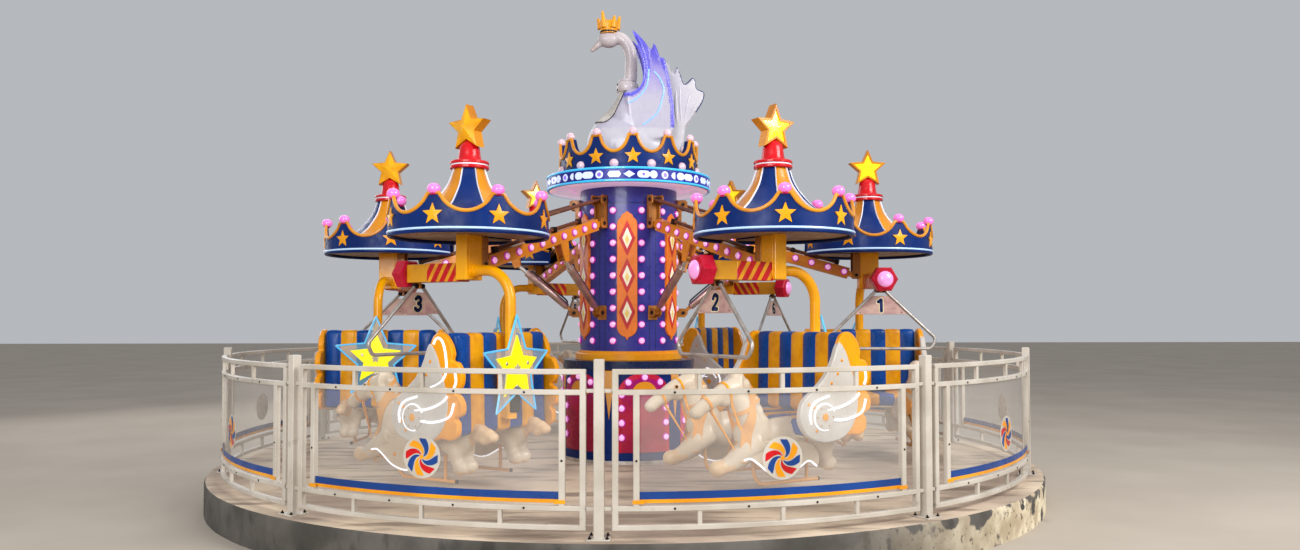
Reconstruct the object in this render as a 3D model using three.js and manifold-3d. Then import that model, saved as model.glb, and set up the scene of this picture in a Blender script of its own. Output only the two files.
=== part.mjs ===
// Chair swing ride: six gondolas on lifting arms round a lit mast, on a round plinth inside a fence.
// Units are millimetres, +Z is up, the origin is the centre of the plinth's underside.
// The front of the ride, where its visitors stand, faces -Y.
import * as THREE from "three";
import { mergeVertices } from "three/addons/utils/BufferGeometryUtils.js";
import Module from "manifold-3d";

const wasm = await Module();
wasm.setup();

// Ring plan: bearings are measured from the front (-Y) and grow towards +X
const UNIT_COUNT = 6;
const FIRST_ARM_BEARING = 28;
const FENCE_POSTS = 10;
const FIRST_POST_BEARING = -3.2;

// Plinth and base drum
const PLINTH_R = 3950;
const PLATFORM_Z = 270;
const DRUM_R = 660;
const DRUM_TOP_Z = 1250;
const RUNNING_GAP = 0.5;

// Turning column
const COLUMN_R = 495;
const FLANGE_R = 545;
const FLANGE_TOP_Z = 1318;
const COLUMN_TOP_Z = 2960;
const TRIM_PANEL_W = 200;
const TRIM_PANEL_Z = [1450, 2715];
const TRIM_PANEL_PROUD = 16;

// Crown on top of the column
const BRIM_R = 846;
const BRIM_H = 140;
const CROWN_R = 700;
const CROWN_WALL = 30;
const CROWN_VALLEY_Z = 3260;
const CROWN_PEAK_Z = 3435;
const CROWN_PEAKS = 12;
const CROWN_PHASE = 3;

// Arms: a lower beam and an upper link that stay parallel, so the gondola stays level
const PIVOT_R = 560;
const BEAM_PIVOT_Z = 2595;
const LINK_RISE = 235;
const HANGER_PIVOT_R = 2330;
const HANGER_PIVOT_Z = 2105;
const BEAM_H = 110;
const BEAM_W = 90;
const BEAM_END_GAP = 78;
const CHEEK_GAP = 104;
const CHEEK_T = 12;
const PIVOT_BOSS_R = 26;
const LINK_ROD_R = 13;
const LINK_ROD_SPACING = 56;

// Lifting ram between the column's foot bracket and a lug under the beam
const RAM_FOOT = [PIVOT_R, 1720];
const RAM_HEAD = [1150, 2220];
const RAM_TUBE_R = 36;
const RAM_BORE_R = 25;
const RAM_ROD_R = 19;
const RAM_TUBE_LENGTH = 640;
const RAM_BORE_START = 240;
const RAM_ROD_START = 265;
const RAM_CHEEK_GAP = 60;
const RAM_TUBE_START = 95;
const RAM_NECK_W = 40;
const RAM_EYE_R = 25;
const RAM_EYE_MARGIN = 32;

// Gondola: offsets from the hanger post's axis, x forward, y outward from the mast
const POST_R = 2460;
const POST_W = 115;
const POST_D = 200;
const POST_Z = [1970, 2376];
const LUG_MARGIN = 34;
const BOOM_END = 625;
const BOOM_Z = [1960, 2110];
const BOOM_W = 130;
const LAMP_R = 128;
const LAMP_END = 760;
const LAMP_DOME_R = 84;
const TUBE_R = 43;
const TUBE_BACK_X = -425;
const TUBE_FOOT_Z = 1100;
const TUBE_TOP_Z = 2045;
const TUBE_BEND = 250;

// Canopy over each gondola
const CANOPY_R = 628;
const CANOPY_WALL = 18;
const CANOPY_RIM_R = 645;
const CANOPY_RIM_Z = 2320;
const CANOPY_VALLEY_Z = 2465;
const CANOPY_PEAK_Z = 2605;
const CANOPY_PEAKS = 8;
const CANOPY_PHASE = 16;
const ROOF_WALL = 16;
const NECK_R = 92;
const NECK_Z = [2870, 3050];
const NECK_DOME = [48, 3088];
const NECK_TOP_Z = 3110;
const NECK_FLANGE_R = 157;
const STAR_Z = 3200;
const STAR_R = 195;
const STAR_WAIST_R = 88;
const STAR_T = 100;
const FORWARD_STAR_UNITS = [2, 5];
const ROOF_EAVE_Z = 2445;
const ROOF_KNEE = [330, 2550];
const ROOF_SHOULDER = [175, 2735];
const ROOF_TOP_R = 125;
const ROOF_INNER_TOP = [120, 2745];
const NECK_FLANGE_H = 60;
const LINK_SLOT_HALF = 75;
const LINK_SLOT_TOP_Z = 2545;

// Seat, wing shells and the pair of ponies
const BENCH_HALF = 545;
const BACKREST_X = [-375, -215];
const BACKREST_Z = [900, 1550];
const SEAT_X = [-300, 150];
const SEAT_Z = [770, 905];
const SHELL_Y = [556, 612];
const SHELL_PIN_X = [-280, -80];
const SHELL_PIN_Z = [820, 890];
const SOCKET_BOTTOM_Z = 880;
const BRIDGE_Z = [885, 965];
const STAR_BRACKET_Z = [930, 1080];
const PONY_Y = 330;
const PONY_BODY_HALF = 118;
const PONY_LIMB_HALF = 70;
const RUNNER_R = 14;
const RUNNER_Z = 410;
const RUNNER_X = [-170, 400];
const RUNNER_POST_X = -60;
const RUNNER_NOSE_X = 455;
const RUNNER_JOINT_Z = 600;
const REAR_STAR_R = 410;
const REAR_STAR_WAIST_R = 185;
const REAR_STAR_Z = 1270;
const REAR_STAR_T = 12;
const REAR_STAR_X = TUBE_BACK_X - TUBE_R - 14;

// Lap bar
const LAP_PIVOT = [550, 1932];
const LAP_BAR_X = 590;
const LAP_BAR_Z = 1370;
const LAP_BAR_HALF = 500;
const LAP_TUBE_R = 14;
const LAP_SLEEVE_R = 20;
const LAP_LUG_T = 30;
const PLATE_Z = [1700, 1880];
const PLATE_HALF = [255, 85];
const PLATE_T = 8;
const HOOP_CORNER = 45;

// Fence
const FENCE_R = 3800;
const FENCE_POST_W = 66;
const FENCE_POST_TOP_Z = PLATFORM_Z + 1130;
const FENCE_BASE_W = 150;
const FENCE_BASE_H = 10;
const RAIL_W = 40;
const RAIL_H = 34;
const RAIL_Z = [70, 190, 920, 1050];
const PANEL_GAP = 82;
const SHEET_INSET = 215;
const SHEET_T = 8;
const SPACER_Z = [190, 930];
const SPACER_H = 24;

// Swan on the crown, in the plane that runs from beak to tail; x grows towards the tail
const SWAN_BASE_Z = 3110;
const SWAN_BODY = { x: 40, z: 3480, rx: 440, ry: 250, rz: 440 };
const SWAN_NECK = [
  [-70, 3950],
  [0, 4110],
  [28, 4300],
  [18, 4470],
  [-60, 4590],
  [-190, 4590],
];
const SWAN_NECK_R = 62;
const SWAN_COLLAR = { x: -25, z: 4090, r: 108, h: 110 };
const SWAN_HEAD = { x: -215, z: 4570, rx: 112, ry: 80, rz: 84 };
const SWAN_BEAK_TIP = [-400, 4435];
const SWAN_BREAST = { from: [-150, 3600], to: [-60, 4000], r: 130 };
const SWAN_CROWN = { x: -200, z: 4620, floorZ: 4680, valleyZ: 4760, peakZ: 4850 };
const SWAN_CROWN_RING = { r: 80, topR: 122, wall: 18, peaks: 5 };
const SWAN_WING = [
  [-60, 3960],
  [90, 4000],
  [138, 4130],
  [120, 4350],
  [6, 4645],
  [215, 4415],
  [252, 4505],
  [325, 4320],
  [362, 4322],
  [420, 4070],
  [462, 3780],
  [430, 3520],
  [100, 3560],
  [-200, 3640],
];
const SWAN_TAIL = [
  [380, 3640],
  [425, 4250],
  [507, 4300],
  [556, 4143],
  [612, 4143],
  [665, 4190],
  [705, 4060],
  [777, 4040],
  [758, 3910],
  [585, 3665],
];
const SWAN_WING_Y = 190;
const SWAN_WING_T = 60;
const SWAN_TAIL_T = 46;

// Pony outlines in side view, x forward from the hanger post's axis
const PONY_BODY_OUTLINE = [
  [-335, 800],
  [-300, 640],
  [0, 560],
  [240, 540],
  [560, 700],
  [620, 850],
  [540, 960],
  [100, 880],
];
const PONY_LIMB_OUTLINE = [
  [-565, 850],
  [-560, 740],
  [-250, 660],
  [-355, 560],
  [-330, 460],
  [-110, 460],
  [-30, 620],
  [300, 600],
  [640, 490],
  [860, 520],
  [870, 640],
  [680, 720],
  [690, 910],
  [930, 800],
  [985, 870],
  [760, 1120],
  [600, 1230],
  [510, 1140],
  [470, 940],
];
const SHELL_OUTLINE = [
  [-60, 720],
  [160, 800],
  [235, 920],
  [200, 1060],
  [-90, 1280],
  [-150, 1440],
  [-250, 1560],
  [-350, 1550],
  [-440, 1340],
  [-480, 1100],
  [-450, 960],
  [-320, 810],
];

const NAVY = 0x1d2f7a;
const GOLD = 0xe8a023;
const YELLOW = 0xf2b21c;
const RED = 0xc8202e;
const CREAM = 0xece2d0;
const WHITE = 0xf2f2ee;
const CONCRETE = 0x9c958a;
const STEEL = 0xb9bbbf;
const CRIMSON = 0x9c1f4c;

const degrees = THREE.MathUtils.degToRad;

// Turns a closed geometry into a solid whose faces point outwards
function solidOf(geometry) {
  const bare = geometry.clone();
  bare.deleteAttribute("normal");
  bare.deleteAttribute("uv");
  const merged = mergeVertices(bare, 1e-3);
  const triVerts = new Uint32Array(merged.index.array);
  const vertProperties = merged.attributes.position.array;
  const made = new wasm.Manifold(new wasm.Mesh({ numProp: 3, vertProperties, triVerts }));
  if (made.volume() > 0) return made;
  for (let i = 0; i < triVerts.length; i += 3) {
    [triVerts[i + 1], triVerts[i + 2]] = [triVerts[i + 2], triVerts[i + 1]];
  }
  return new wasm.Manifold(new wasm.Mesh({ numProp: 3, vertProperties, triVerts }));
}

function geometryOf(solid) {
  const mesh = solid.getMesh();
  const positions = new Float32Array(mesh.numVert * 3);
  for (let i = 0; i < mesh.numVert; i++) {
    const start = i * mesh.numProp;
    positions.set(mesh.vertProperties.subarray(start, start + 3), i * 3);
  }
  const geometry = new THREE.BufferGeometry();
  geometry.setAttribute("position", new THREE.BufferAttribute(positions, 3));
  geometry.setIndex(new THREE.BufferAttribute(mesh.triVerts, 1));
  geometry.computeVertexNormals();
  return geometry;
}

function join(...geometries) {
  return geometryOf(geometries.map(solidOf).reduce((sum, next) => sum.add(next)));
}

function cut(geometry, ...tools) {
  return geometryOf(tools.map(solidOf).reduce((rest, tool) => rest.subtract(tool), solidOf(geometry)));
}

// A block given by its low and high corners
function block([x0, x1], [y0, y1], [z0, z1]) {
  const geometry = new THREE.BoxGeometry(x1 - x0, y1 - y0, z1 - z0);
  return geometry.translate((x0 + x1) / 2, (y0 + y1) / 2, (z0 + z1) / 2);
}

// A straight round bar between two points
function bar(from, to, radius, sides = 8) {
  const start = new THREE.Vector3(...from);
  const end = new THREE.Vector3(...to);
  const axis = end.clone().sub(start);
  const geometry = new THREE.CylinderGeometry(radius, radius, axis.length(), sides);
  const turn = new THREE.Quaternion().setFromUnitVectors(new THREE.Vector3(0, 1, 0), axis.normalize());
  geometry.applyQuaternion(turn);
  const middle = start.add(end).multiplyScalar(0.5);
  return geometry.translate(middle.x, middle.y, middle.z);
}

// A bent tube along a smooth curve through the points
function bentTube(points, radius, sides, steps) {
  const section = new THREE.Shape();
  section.absarc(0, 0, radius, 0, 2 * Math.PI);
  const path = new THREE.CatmullRomCurve3(points.map((p) => new THREE.Vector3(...p)), false, "centripetal");
  const options = { extrudePath: path, steps, curveSegments: sides, bevelEnabled: false };
  return new THREE.ExtrudeGeometry(section, options);
}

// A turned form about +Z; each profile point is [radius, z]
function turned(profile, segments) {
  const points = profile.map(([radius, z]) => new THREE.Vector2(radius, z));
  return new THREE.LatheGeometry(points, segments).rotateX(Math.PI / 2);
}

function outlineShape(outline) {
  return new THREE.Shape(outline.map(([x, y]) => new THREE.Vector2(x, y)));
}

// A flat plate in the x-z plane between two y values
function plateXZ(outline, y0, y1, bevel = 0) {
  const options = { depth: y1 - y0 - 2 * bevel, bevelEnabled: bevel > 0, bevelSegments: 1 };
  options.bevelSize = bevel;
  options.bevelThickness = bevel;
  options.bevelOffset = -bevel;
  const geometry = new THREE.ExtrudeGeometry(outlineShape(outline), options);
  return geometry.rotateX(Math.PI / 2).translate(0, y1 - bevel, 0);
}

// A block bent round the Z axis, between two radii and two bearings
function sector([r0, r1], [z0, z1], [from, to], steps) {
  const outline = [];
  for (let i = 0; i <= steps; i++) outline.push(onRing(r1, from + ((to - from) * i) / steps));
  for (let i = steps; i >= 0; i--) outline.push(onRing(r0, from + ((to - from) * i) / steps));
  const options = { depth: z1 - z0, bevelEnabled: false };
  return new THREE.ExtrudeGeometry(outlineShape(outline), options).translate(0, 0, z0);
}

// A point on a ring, at a bearing from the front
function onRing(radius, bearing) {
  return [radius * Math.sin(degrees(bearing)), -radius * Math.cos(degrees(bearing))];
}

// Turns the frame with x forward and y outward to the one that stands at a bearing
function frameTurn(bearing) {
  return degrees(bearing + 180);
}

function starOutline(centre, tipR, waistR, points = 5) {
  const outline = [];
  for (let i = 0; i < 2 * points; i++) {
    const radius = i % 2 ? waistR : tipR;
    const angle = Math.PI / 2 + (i * Math.PI) / points;
    outline.push([centre[0] + radius * Math.cos(angle), centre[1] + radius * Math.sin(angle)]);
  }
  return outline;
}

// Height of a scalloped edge: sharp peaks with round valleys between them
function scallop(angle, peaks, valleyZ, peakZ) {
  const share = ((angle / 360) * peaks) % 1;
  const fromPeak = Math.abs(((share + 1.5) % 1) - 0.5) * 2;
  return valleyZ + (peakZ - valleyZ) * (1 - Math.sin((fromPeak * Math.PI) / 2));
}

// A turned ring whose top edge is lifted to scallops
function scalloped(profile, segments, topZ, heightAt) {
  const geometry = turned(profile, segments);
  const position = geometry.attributes.position;
  for (let i = 0; i < position.count; i++) {
    if (Math.abs(position.getZ(i) - topZ) > 1) continue;
    const bearing = THREE.MathUtils.radToDeg(Math.atan2(position.getX(i), -position.getY(i)));
    position.setZ(i, heightAt(bearing));
  }
  return geometry;
}

function meshOf(name, geometry, color, metalness = 0.1, roughness = 0.45) {
  const mesh = new THREE.Mesh(geometry, new THREE.MeshStandardMaterial({ color, metalness, roughness }));
  mesh.name = name;
  return mesh;
}

const unitBearings = Array.from({ length: UNIT_COUNT }, (_, i) => FIRST_ARM_BEARING + (i * 360) / UNIT_COUNT);
const beamRun = HANGER_PIVOT_R - PIVOT_R;
const beamDrop = BEAM_PIVOT_Z - HANGER_PIVOT_Z;
const beamLength = Math.hypot(beamRun, beamDrop);
const beamTilt = -Math.atan2(beamDrop, beamRun);

function plinth() {
  return turned([[0, 0], [PLINTH_R, 0], [PLINTH_R, PLATFORM_Z], [0, PLATFORM_Z]], 48);
}

function baseDrum() {
  const bandR = DRUM_R + 12;
  const footR = DRUM_R + 20;
  const bandZ = DRUM_TOP_Z - 130;
  const footZ = PLATFORM_Z + 70;
  const profile = [
    [0, PLATFORM_Z],
    [footR, PLATFORM_Z],
    [footR, footZ],
    [DRUM_R, footZ],
    [DRUM_R, bandZ],
    [bandR, bandZ],
    [bandR, DRUM_TOP_Z],
    [0, DRUM_TOP_Z],
  ];
  return turned(profile, 24);
}

// Two cheek plates, in a unit's frame, that carry a pivot between them
function cheeks([y0, y1], [z0, z1], gap) {
  const inner = gap / 2;
  const outer = inner + CHEEK_T;
  return [block([-outer, -inner], [y0, y1], [z0, z1]), block([inner, outer], [y0, y1], [z0, z1])];
}

// Gold panel with stepped ends, flat on the column
function trimPanel() {
  const half = TRIM_PANEL_W / 2;
  const [low, high] = TRIM_PANEL_Z;
  const shoulder = 60;
  const point = 40;
  const outline = [
    [-half, low + shoulder],
    [-half + point, low + shoulder / 2],
    [0, low],
    [half - point, low + shoulder / 2],
    [half, low + shoulder],
    [half, high - shoulder],
    [half - point, high - shoulder / 2],
    [0, high],
    [-half + point, high - shoulder / 2],
    [-half, high - shoulder],
  ];
  return plateXZ(outline, COLUMN_R - 20, COLUMN_R + TRIM_PANEL_PROUD);
}

function mastColumn() {
  const column = turned(
    [
      [0, DRUM_TOP_Z + RUNNING_GAP],
      [FLANGE_R, DRUM_TOP_Z + RUNNING_GAP],
      [FLANGE_R, FLANGE_TOP_Z],
      [COLUMN_R, FLANGE_TOP_Z],
      [COLUMN_R, COLUMN_TOP_Z],
      [0, COLUMN_TOP_Z],
    ],
    30,
  );
  const margin = 45;
  const bracket = [COLUMN_R - 30, PIVOT_R + margin];
  const upperZ = [BEAM_PIVOT_Z - margin, BEAM_PIVOT_Z + LINK_RISE + margin];
  const lowerZ = [RAM_FOOT[1] - margin, RAM_FOOT[1] + margin];
  const pieces = [column];
  for (const bearing of unitBearings) {
    const turn = frameTurn(bearing);
    const plates = [...cheeks(bracket, upperZ, CHEEK_GAP), ...cheeks(bracket, lowerZ, RAM_CHEEK_GAP)];
    for (const plate of plates) pieces.push(plate.rotateZ(turn));
    pieces.push(trimPanel().rotateZ(turn + degrees(180 / UNIT_COUNT)));
  }
  return join(...pieces);
}

function topCrown() {
  const brimTop = COLUMN_TOP_Z + BRIM_H;
  const profile = [
    [0, COLUMN_TOP_Z],
    [BRIM_R, COLUMN_TOP_Z],
    [BRIM_R, brimTop],
    [CROWN_R, brimTop],
    [CROWN_R, CROWN_PEAK_Z],
    [CROWN_R - CROWN_WALL, CROWN_PEAK_Z],
    [CROWN_R - CROWN_WALL, SWAN_BASE_Z],
    [0, SWAN_BASE_Z],
  ];
  const heightAt = (bearing) => scallop(bearing, CROWN_PEAKS, CROWN_VALLEY_Z, CROWN_PEAK_Z);
  return scalloped(profile, CROWN_PEAKS * 4, CROWN_PEAK_Z, heightAt).rotateZ(degrees(CROWN_PHASE));
}

function swan() {
  const bodyForm = new THREE.SphereGeometry(1, 10, 6);
  bodyForm.rotateX(Math.PI / 2);
  bodyForm.scale(SWAN_BODY.rx, SWAN_BODY.ry, SWAN_BODY.rz);
  bodyForm.translate(SWAN_BODY.x, 0, SWAN_BODY.z);
  const floor = block([-CROWN_R, CROWN_R], [-CROWN_R, CROWN_R], [SWAN_BASE_Z - CROWN_R, SWAN_BASE_Z]);
  const neck = bentTube(SWAN_NECK.map(([x, z]) => [x, 0, z]), SWAN_NECK_R, 3, 7);
  const [breastFrom, breastTo] = [SWAN_BREAST.from, SWAN_BREAST.to].map(([x, z]) => [x, 0, z]);
  const breast = bar(breastFrom, breastTo, SWAN_BREAST.r);
  const collar = bar(
    [SWAN_COLLAR.x, 0, SWAN_COLLAR.z - SWAN_COLLAR.h / 2],
    [SWAN_COLLAR.x, 0, SWAN_COLLAR.z + SWAN_COLLAR.h / 2],
    SWAN_COLLAR.r,
  );
  const head = new THREE.SphereGeometry(1, 8, 6);
  head.scale(SWAN_HEAD.rx, SWAN_HEAD.ry, SWAN_HEAD.rz).translate(SWAN_HEAD.x, 0, SWAN_HEAD.z);
  const beakBase = [SWAN_HEAD.x, SWAN_HEAD.z - 20];
  const beakLength = Math.hypot(SWAN_BEAK_TIP[0] - beakBase[0], SWAN_BEAK_TIP[1] - beakBase[1]);
  const beak = new THREE.CylinderGeometry(20, 60, beakLength, 6).translate(0, beakLength / 2, 0);
  const beakAxis = new THREE.Vector3(SWAN_BEAK_TIP[0] - beakBase[0], 0, SWAN_BEAK_TIP[1] - beakBase[1]);
  const up = new THREE.Vector3(0, 1, 0);
  beak.applyQuaternion(new THREE.Quaternion().setFromUnitVectors(up, beakAxis.normalize()));
  beak.translate(beakBase[0], 0, beakBase[1]);
  const wings = [-1, 1].map((side) =>
    plateXZ(SWAN_WING, side * SWAN_WING_Y - SWAN_WING_T / 2, side * SWAN_WING_Y + SWAN_WING_T / 2),
  );
  const tail = plateXZ(SWAN_TAIL, -SWAN_TAIL_T / 2, SWAN_TAIL_T / 2);
  const crown = crownlet();
  const bird = join(bodyForm, breast, neck, collar, head, beak, ...wings, tail, crown);
  return cut(bird, floor);
}

// Small crown on the swan's head
function crownlet() {
  const { x, z, floorZ, valleyZ, peakZ } = SWAN_CROWN;
  const { r, topR, wall, peaks } = SWAN_CROWN_RING;
  const profile = [
    [0, z],
    [r, z],
    [topR, peakZ],
    [topR - wall, peakZ],
    [r - wall, floorZ],
    [0, floorZ],
  ];
  const heightAt = (bearing) => scallop(bearing, peaks, valleyZ, peakZ);
  return scalloped(profile, 4 * peaks, peakZ, heightAt).translate(x, 0, 0);
}

// Lower beam of an arm, drawn along its own length from the mast pivot
function armBeam() {
  const half = BEAM_W / 2;
  const bossHalf = CHEEK_GAP / 2 - RUNNING_GAP;
  const bodyEnds = [BEAM_END_GAP, beamLength - BEAM_END_GAP];
  const box = block([-half, half], bodyEnds, [-BEAM_H / 2, BEAM_H / 2]);
  const tongue = block([-half, half], [0, beamLength], [-PIVOT_BOSS_R, PIVOT_BOSS_R]);
  const bosses = [0, beamLength].map((y) => bar([-bossHalf, y, 0], [bossHalf, y, 0], PIVOT_BOSS_R + 2));
  const lug = ramLug();
  return join(box, tongue, ...bosses, ...lug);
}

// Where the ram's head stands in the beam's own frame: along it and below it
function ramHeadOnBeam() {
  const run = RAM_HEAD[0] - PIVOT_R;
  const drop = RAM_HEAD[1] - BEAM_PIVOT_Z;
  const along = run * Math.cos(beamTilt) + drop * Math.sin(beamTilt);
  const below = -run * Math.sin(beamTilt) + drop * Math.cos(beamTilt);
  return [along, below];
}

function ramLug() {
  const [along, below] = ramHeadOnBeam();
  const beamSide = -BEAM_H / 2 + 5;
  const outline = [
    [along - 2 * RAM_EYE_MARGIN, beamSide],
    [along - RAM_EYE_MARGIN, below - RAM_EYE_MARGIN],
    [along + RAM_EYE_MARGIN, below - RAM_EYE_MARGIN],
    [along + 2 * RAM_EYE_MARGIN, beamSide],
  ];
  const inner = RAM_CHEEK_GAP / 2;
  const outer = inner + CHEEK_T;
  const sides = [[-outer, -inner], [inner, outer]];
  return sides.map(([x0, x1]) => {
    const plate = plateXZ(outline, x0, x1);
    return plate.rotateZ(-Math.PI / 2).scale(-1, -1, 1);
  });
}

// Upper link: two thin rods joined by a boss at each end
function link() {
  const bossHalf = CHEEK_GAP / 2 - RUNNING_GAP;
  const offset = LINK_ROD_SPACING / 2;
  const rods = [-offset, offset].map((x) => bar([x, 0, 0], [x, beamLength, 0], LINK_ROD_R, 6));
  const bosses = [0, beamLength].map((y) => bar([-bossHalf, y, 0], [bossHalf, y, 0], PIVOT_BOSS_R - 4));
  return join(...rods, ...bosses);
}

const ramRun = RAM_HEAD[0] - RAM_FOOT[0];
const ramRise = RAM_HEAD[1] - RAM_FOOT[1];
const ramLength = Math.hypot(ramRun, ramRise);
const ramTilt = Math.atan2(ramRise, ramRun);

// The ram's tube, drawn along its own length from the foot pivot, bored from its open end
function ramTube() {
  const tube = turned(
    [
      [0, RAM_TUBE_START],
      [RAM_TUBE_R, RAM_TUBE_START],
      [RAM_TUBE_R, RAM_TUBE_LENGTH],
      [RAM_BORE_R, RAM_TUBE_LENGTH],
      [RAM_BORE_R, RAM_BORE_START],
      [0, RAM_BORE_START],
    ],
    8,
  ).rotateX(-Math.PI / 2);
  const footHalf = RAM_CHEEK_GAP / 2 - RUNNING_GAP;
  const neckHalf = RAM_NECK_W / 2;
  const neck = block([-neckHalf, neckHalf], [0, RAM_TUBE_START + 10], [-neckHalf, neckHalf]);
  return join(tube, neck, bar([-footHalf, 0, 0], [footHalf, 0, 0], RAM_EYE_R));
}

function ramRod() {
  const headHalf = RAM_CHEEK_GAP / 2 - RUNNING_GAP;
  const rod = bar([0, RAM_ROD_START, 0], [0, ramLength, 0], RAM_ROD_R);
  return join(rod, bar([-headHalf, ramLength, 0], [headHalf, ramLength, 0], RAM_EYE_R));
}

// Hanger: the post, its arm lugs, the boom with its lamp and the bent tube that carries the seat
function hanger() {
  const half = POST_W / 2;
  const depth = POST_D / 2;
  const post = block([-half, half], [-depth, depth], POST_Z);
  const lugY = [HANGER_PIVOT_R - POST_R - LUG_MARGIN, -depth + CHEEK_T];
  const lugZ = [HANGER_PIVOT_Z - LUG_MARGIN, HANGER_PIVOT_Z + LINK_RISE + LUG_MARGIN];
  const lugs = cheeks(lugY, lugZ, CHEEK_GAP);
  const boom = block([half - 10, BOOM_END], [-BOOM_W / 2, BOOM_W / 2], BOOM_Z);
  const boomMid = (BOOM_Z[0] + BOOM_Z[1]) / 2;
  const lamp = bar([BOOM_END - 5, 0, boomMid], [LAMP_END, 0, boomMid], LAMP_R, 6);
  const dome = new THREE.SphereGeometry(LAMP_DOME_R, 8, 4).scale(0.55, 1, 1);
  dome.translate(LAMP_END - 2, 0, boomMid);
  const lugEdge = LAP_SLEEVE_R + 2;
  const lapLug = block([LAP_PIVOT[0] - lugEdge, LAP_PIVOT[0] + lugEdge], [-LAP_LUG_T / 2, LAP_LUG_T / 2],
    [LAP_PIVOT[1] - lugEdge, BOOM_Z[0] + 10]);
  const bendShare = 0.3;
  const tubePoints = [
    [-half + 20, 0, TUBE_TOP_Z],
    [TUBE_BACK_X + TUBE_BEND, 0, TUBE_TOP_Z],
    [TUBE_BACK_X + TUBE_BEND * bendShare, 0, TUBE_TOP_Z - TUBE_BEND * bendShare],
    [TUBE_BACK_X, 0, TUBE_TOP_Z - TUBE_BEND],
    [TUBE_BACK_X, 0, (TUBE_TOP_Z + TUBE_FOOT_Z) / 2],
    [TUBE_BACK_X, 0, TUBE_FOOT_Z],
  ];
  const tube = bentTube(tubePoints, TUBE_R, 4, 9);
  return join(post, ...lugs, boom, lamp, dome, lapLug, tube);
}

// The star on top faces outward from the mast, or forward when it is turned
function canopy(starTurned) {
  const wallProfile = [
    [CANOPY_R - CANOPY_WALL, CANOPY_RIM_Z],
    [CANOPY_RIM_R, CANOPY_RIM_Z],
    [CANOPY_R, CANOPY_PEAK_Z],
    [CANOPY_R - CANOPY_WALL, CANOPY_PEAK_Z],
    [CANOPY_R - CANOPY_WALL, CANOPY_RIM_Z],
  ];
  const heightAt = (bearing) => scallop(bearing, CANOPY_PEAKS, CANOPY_VALLEY_Z, CANOPY_PEAK_Z);
  const wall = scalloped(wallProfile, CANOPY_PEAKS * 3, CANOPY_PEAK_Z, heightAt);
  wall.rotateZ(degrees(CANOPY_PHASE));
  const roofR = CANOPY_R - 6;
  const flangeTopZ = NECK_Z[0] + NECK_FLANGE_H;
  const roofOuter = [
    [roofR, ROOF_EAVE_Z],
    ROOF_KNEE,
    ROOF_SHOULDER,
    [ROOF_TOP_R, NECK_Z[0]],
    [NECK_FLANGE_R, NECK_Z[0]],
    [NECK_FLANGE_R, flangeTopZ],
    [NECK_R, flangeTopZ + ROOF_WALL],
    [NECK_R, NECK_Z[1]],
    NECK_DOME,
    [0, NECK_TOP_Z],
  ];
  const roofInner = [
    [0, ROOF_INNER_TOP[1]],
    ROOF_INNER_TOP,
    [ROOF_KNEE[0] - 5, ROOF_KNEE[1] - ROOF_WALL],
    [roofR, ROOF_EAVE_Z - ROOF_WALL],
    [roofR, ROOF_EAVE_Z],
  ];
  const roof = turned([...roofOuter, ...roofInner], 12);
  const seat = block([-POST_W / 2, POST_W / 2], [-POST_D / 2, POST_D / 2],
    [POST_Z[1] + RUNNING_GAP / 2, ROOF_INNER_TOP[1] + ROOF_WALL]);
  const star = plateXZ(starOutline([0, STAR_Z], STAR_R, STAR_WAIST_R), -STAR_T / 2, STAR_T / 2);
  if (starTurned) star.rotateZ(Math.PI / 2);
  const slot = block([-LINK_SLOT_HALF, LINK_SLOT_HALF], [-CANOPY_RIM_R - 20, -POST_D / 2 - 2],
    [CANOPY_RIM_Z - 20, LINK_SLOT_TOP_Z]);
  return cut(join(wall, roof, seat, star), slot);
}

function pony(side) {
  const y = side * PONY_Y;
  const body = plateXZ(PONY_BODY_OUTLINE, y - PONY_BODY_HALF, y + PONY_BODY_HALF);
  const limbs = plateXZ(PONY_LIMB_OUTLINE, y - PONY_LIMB_HALF, y + PONY_LIMB_HALF);
  const [runnerBack, runnerFront] = RUNNER_X;
  const post = bar([RUNNER_POST_X, y, RUNNER_Z], [RUNNER_POST_X, y, RUNNER_JOINT_Z], RUNNER_R, 4);
  const runner = bar([runnerBack, y, RUNNER_Z], [runnerFront, y, RUNNER_Z], RUNNER_R + 2, 4);
  const nose = bar([runnerFront - 5, y, RUNNER_Z], [RUNNER_NOSE_X, y, RUNNER_JOINT_Z], RUNNER_R, 4);
  return [body, limbs, post, runner, nose];
}

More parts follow.
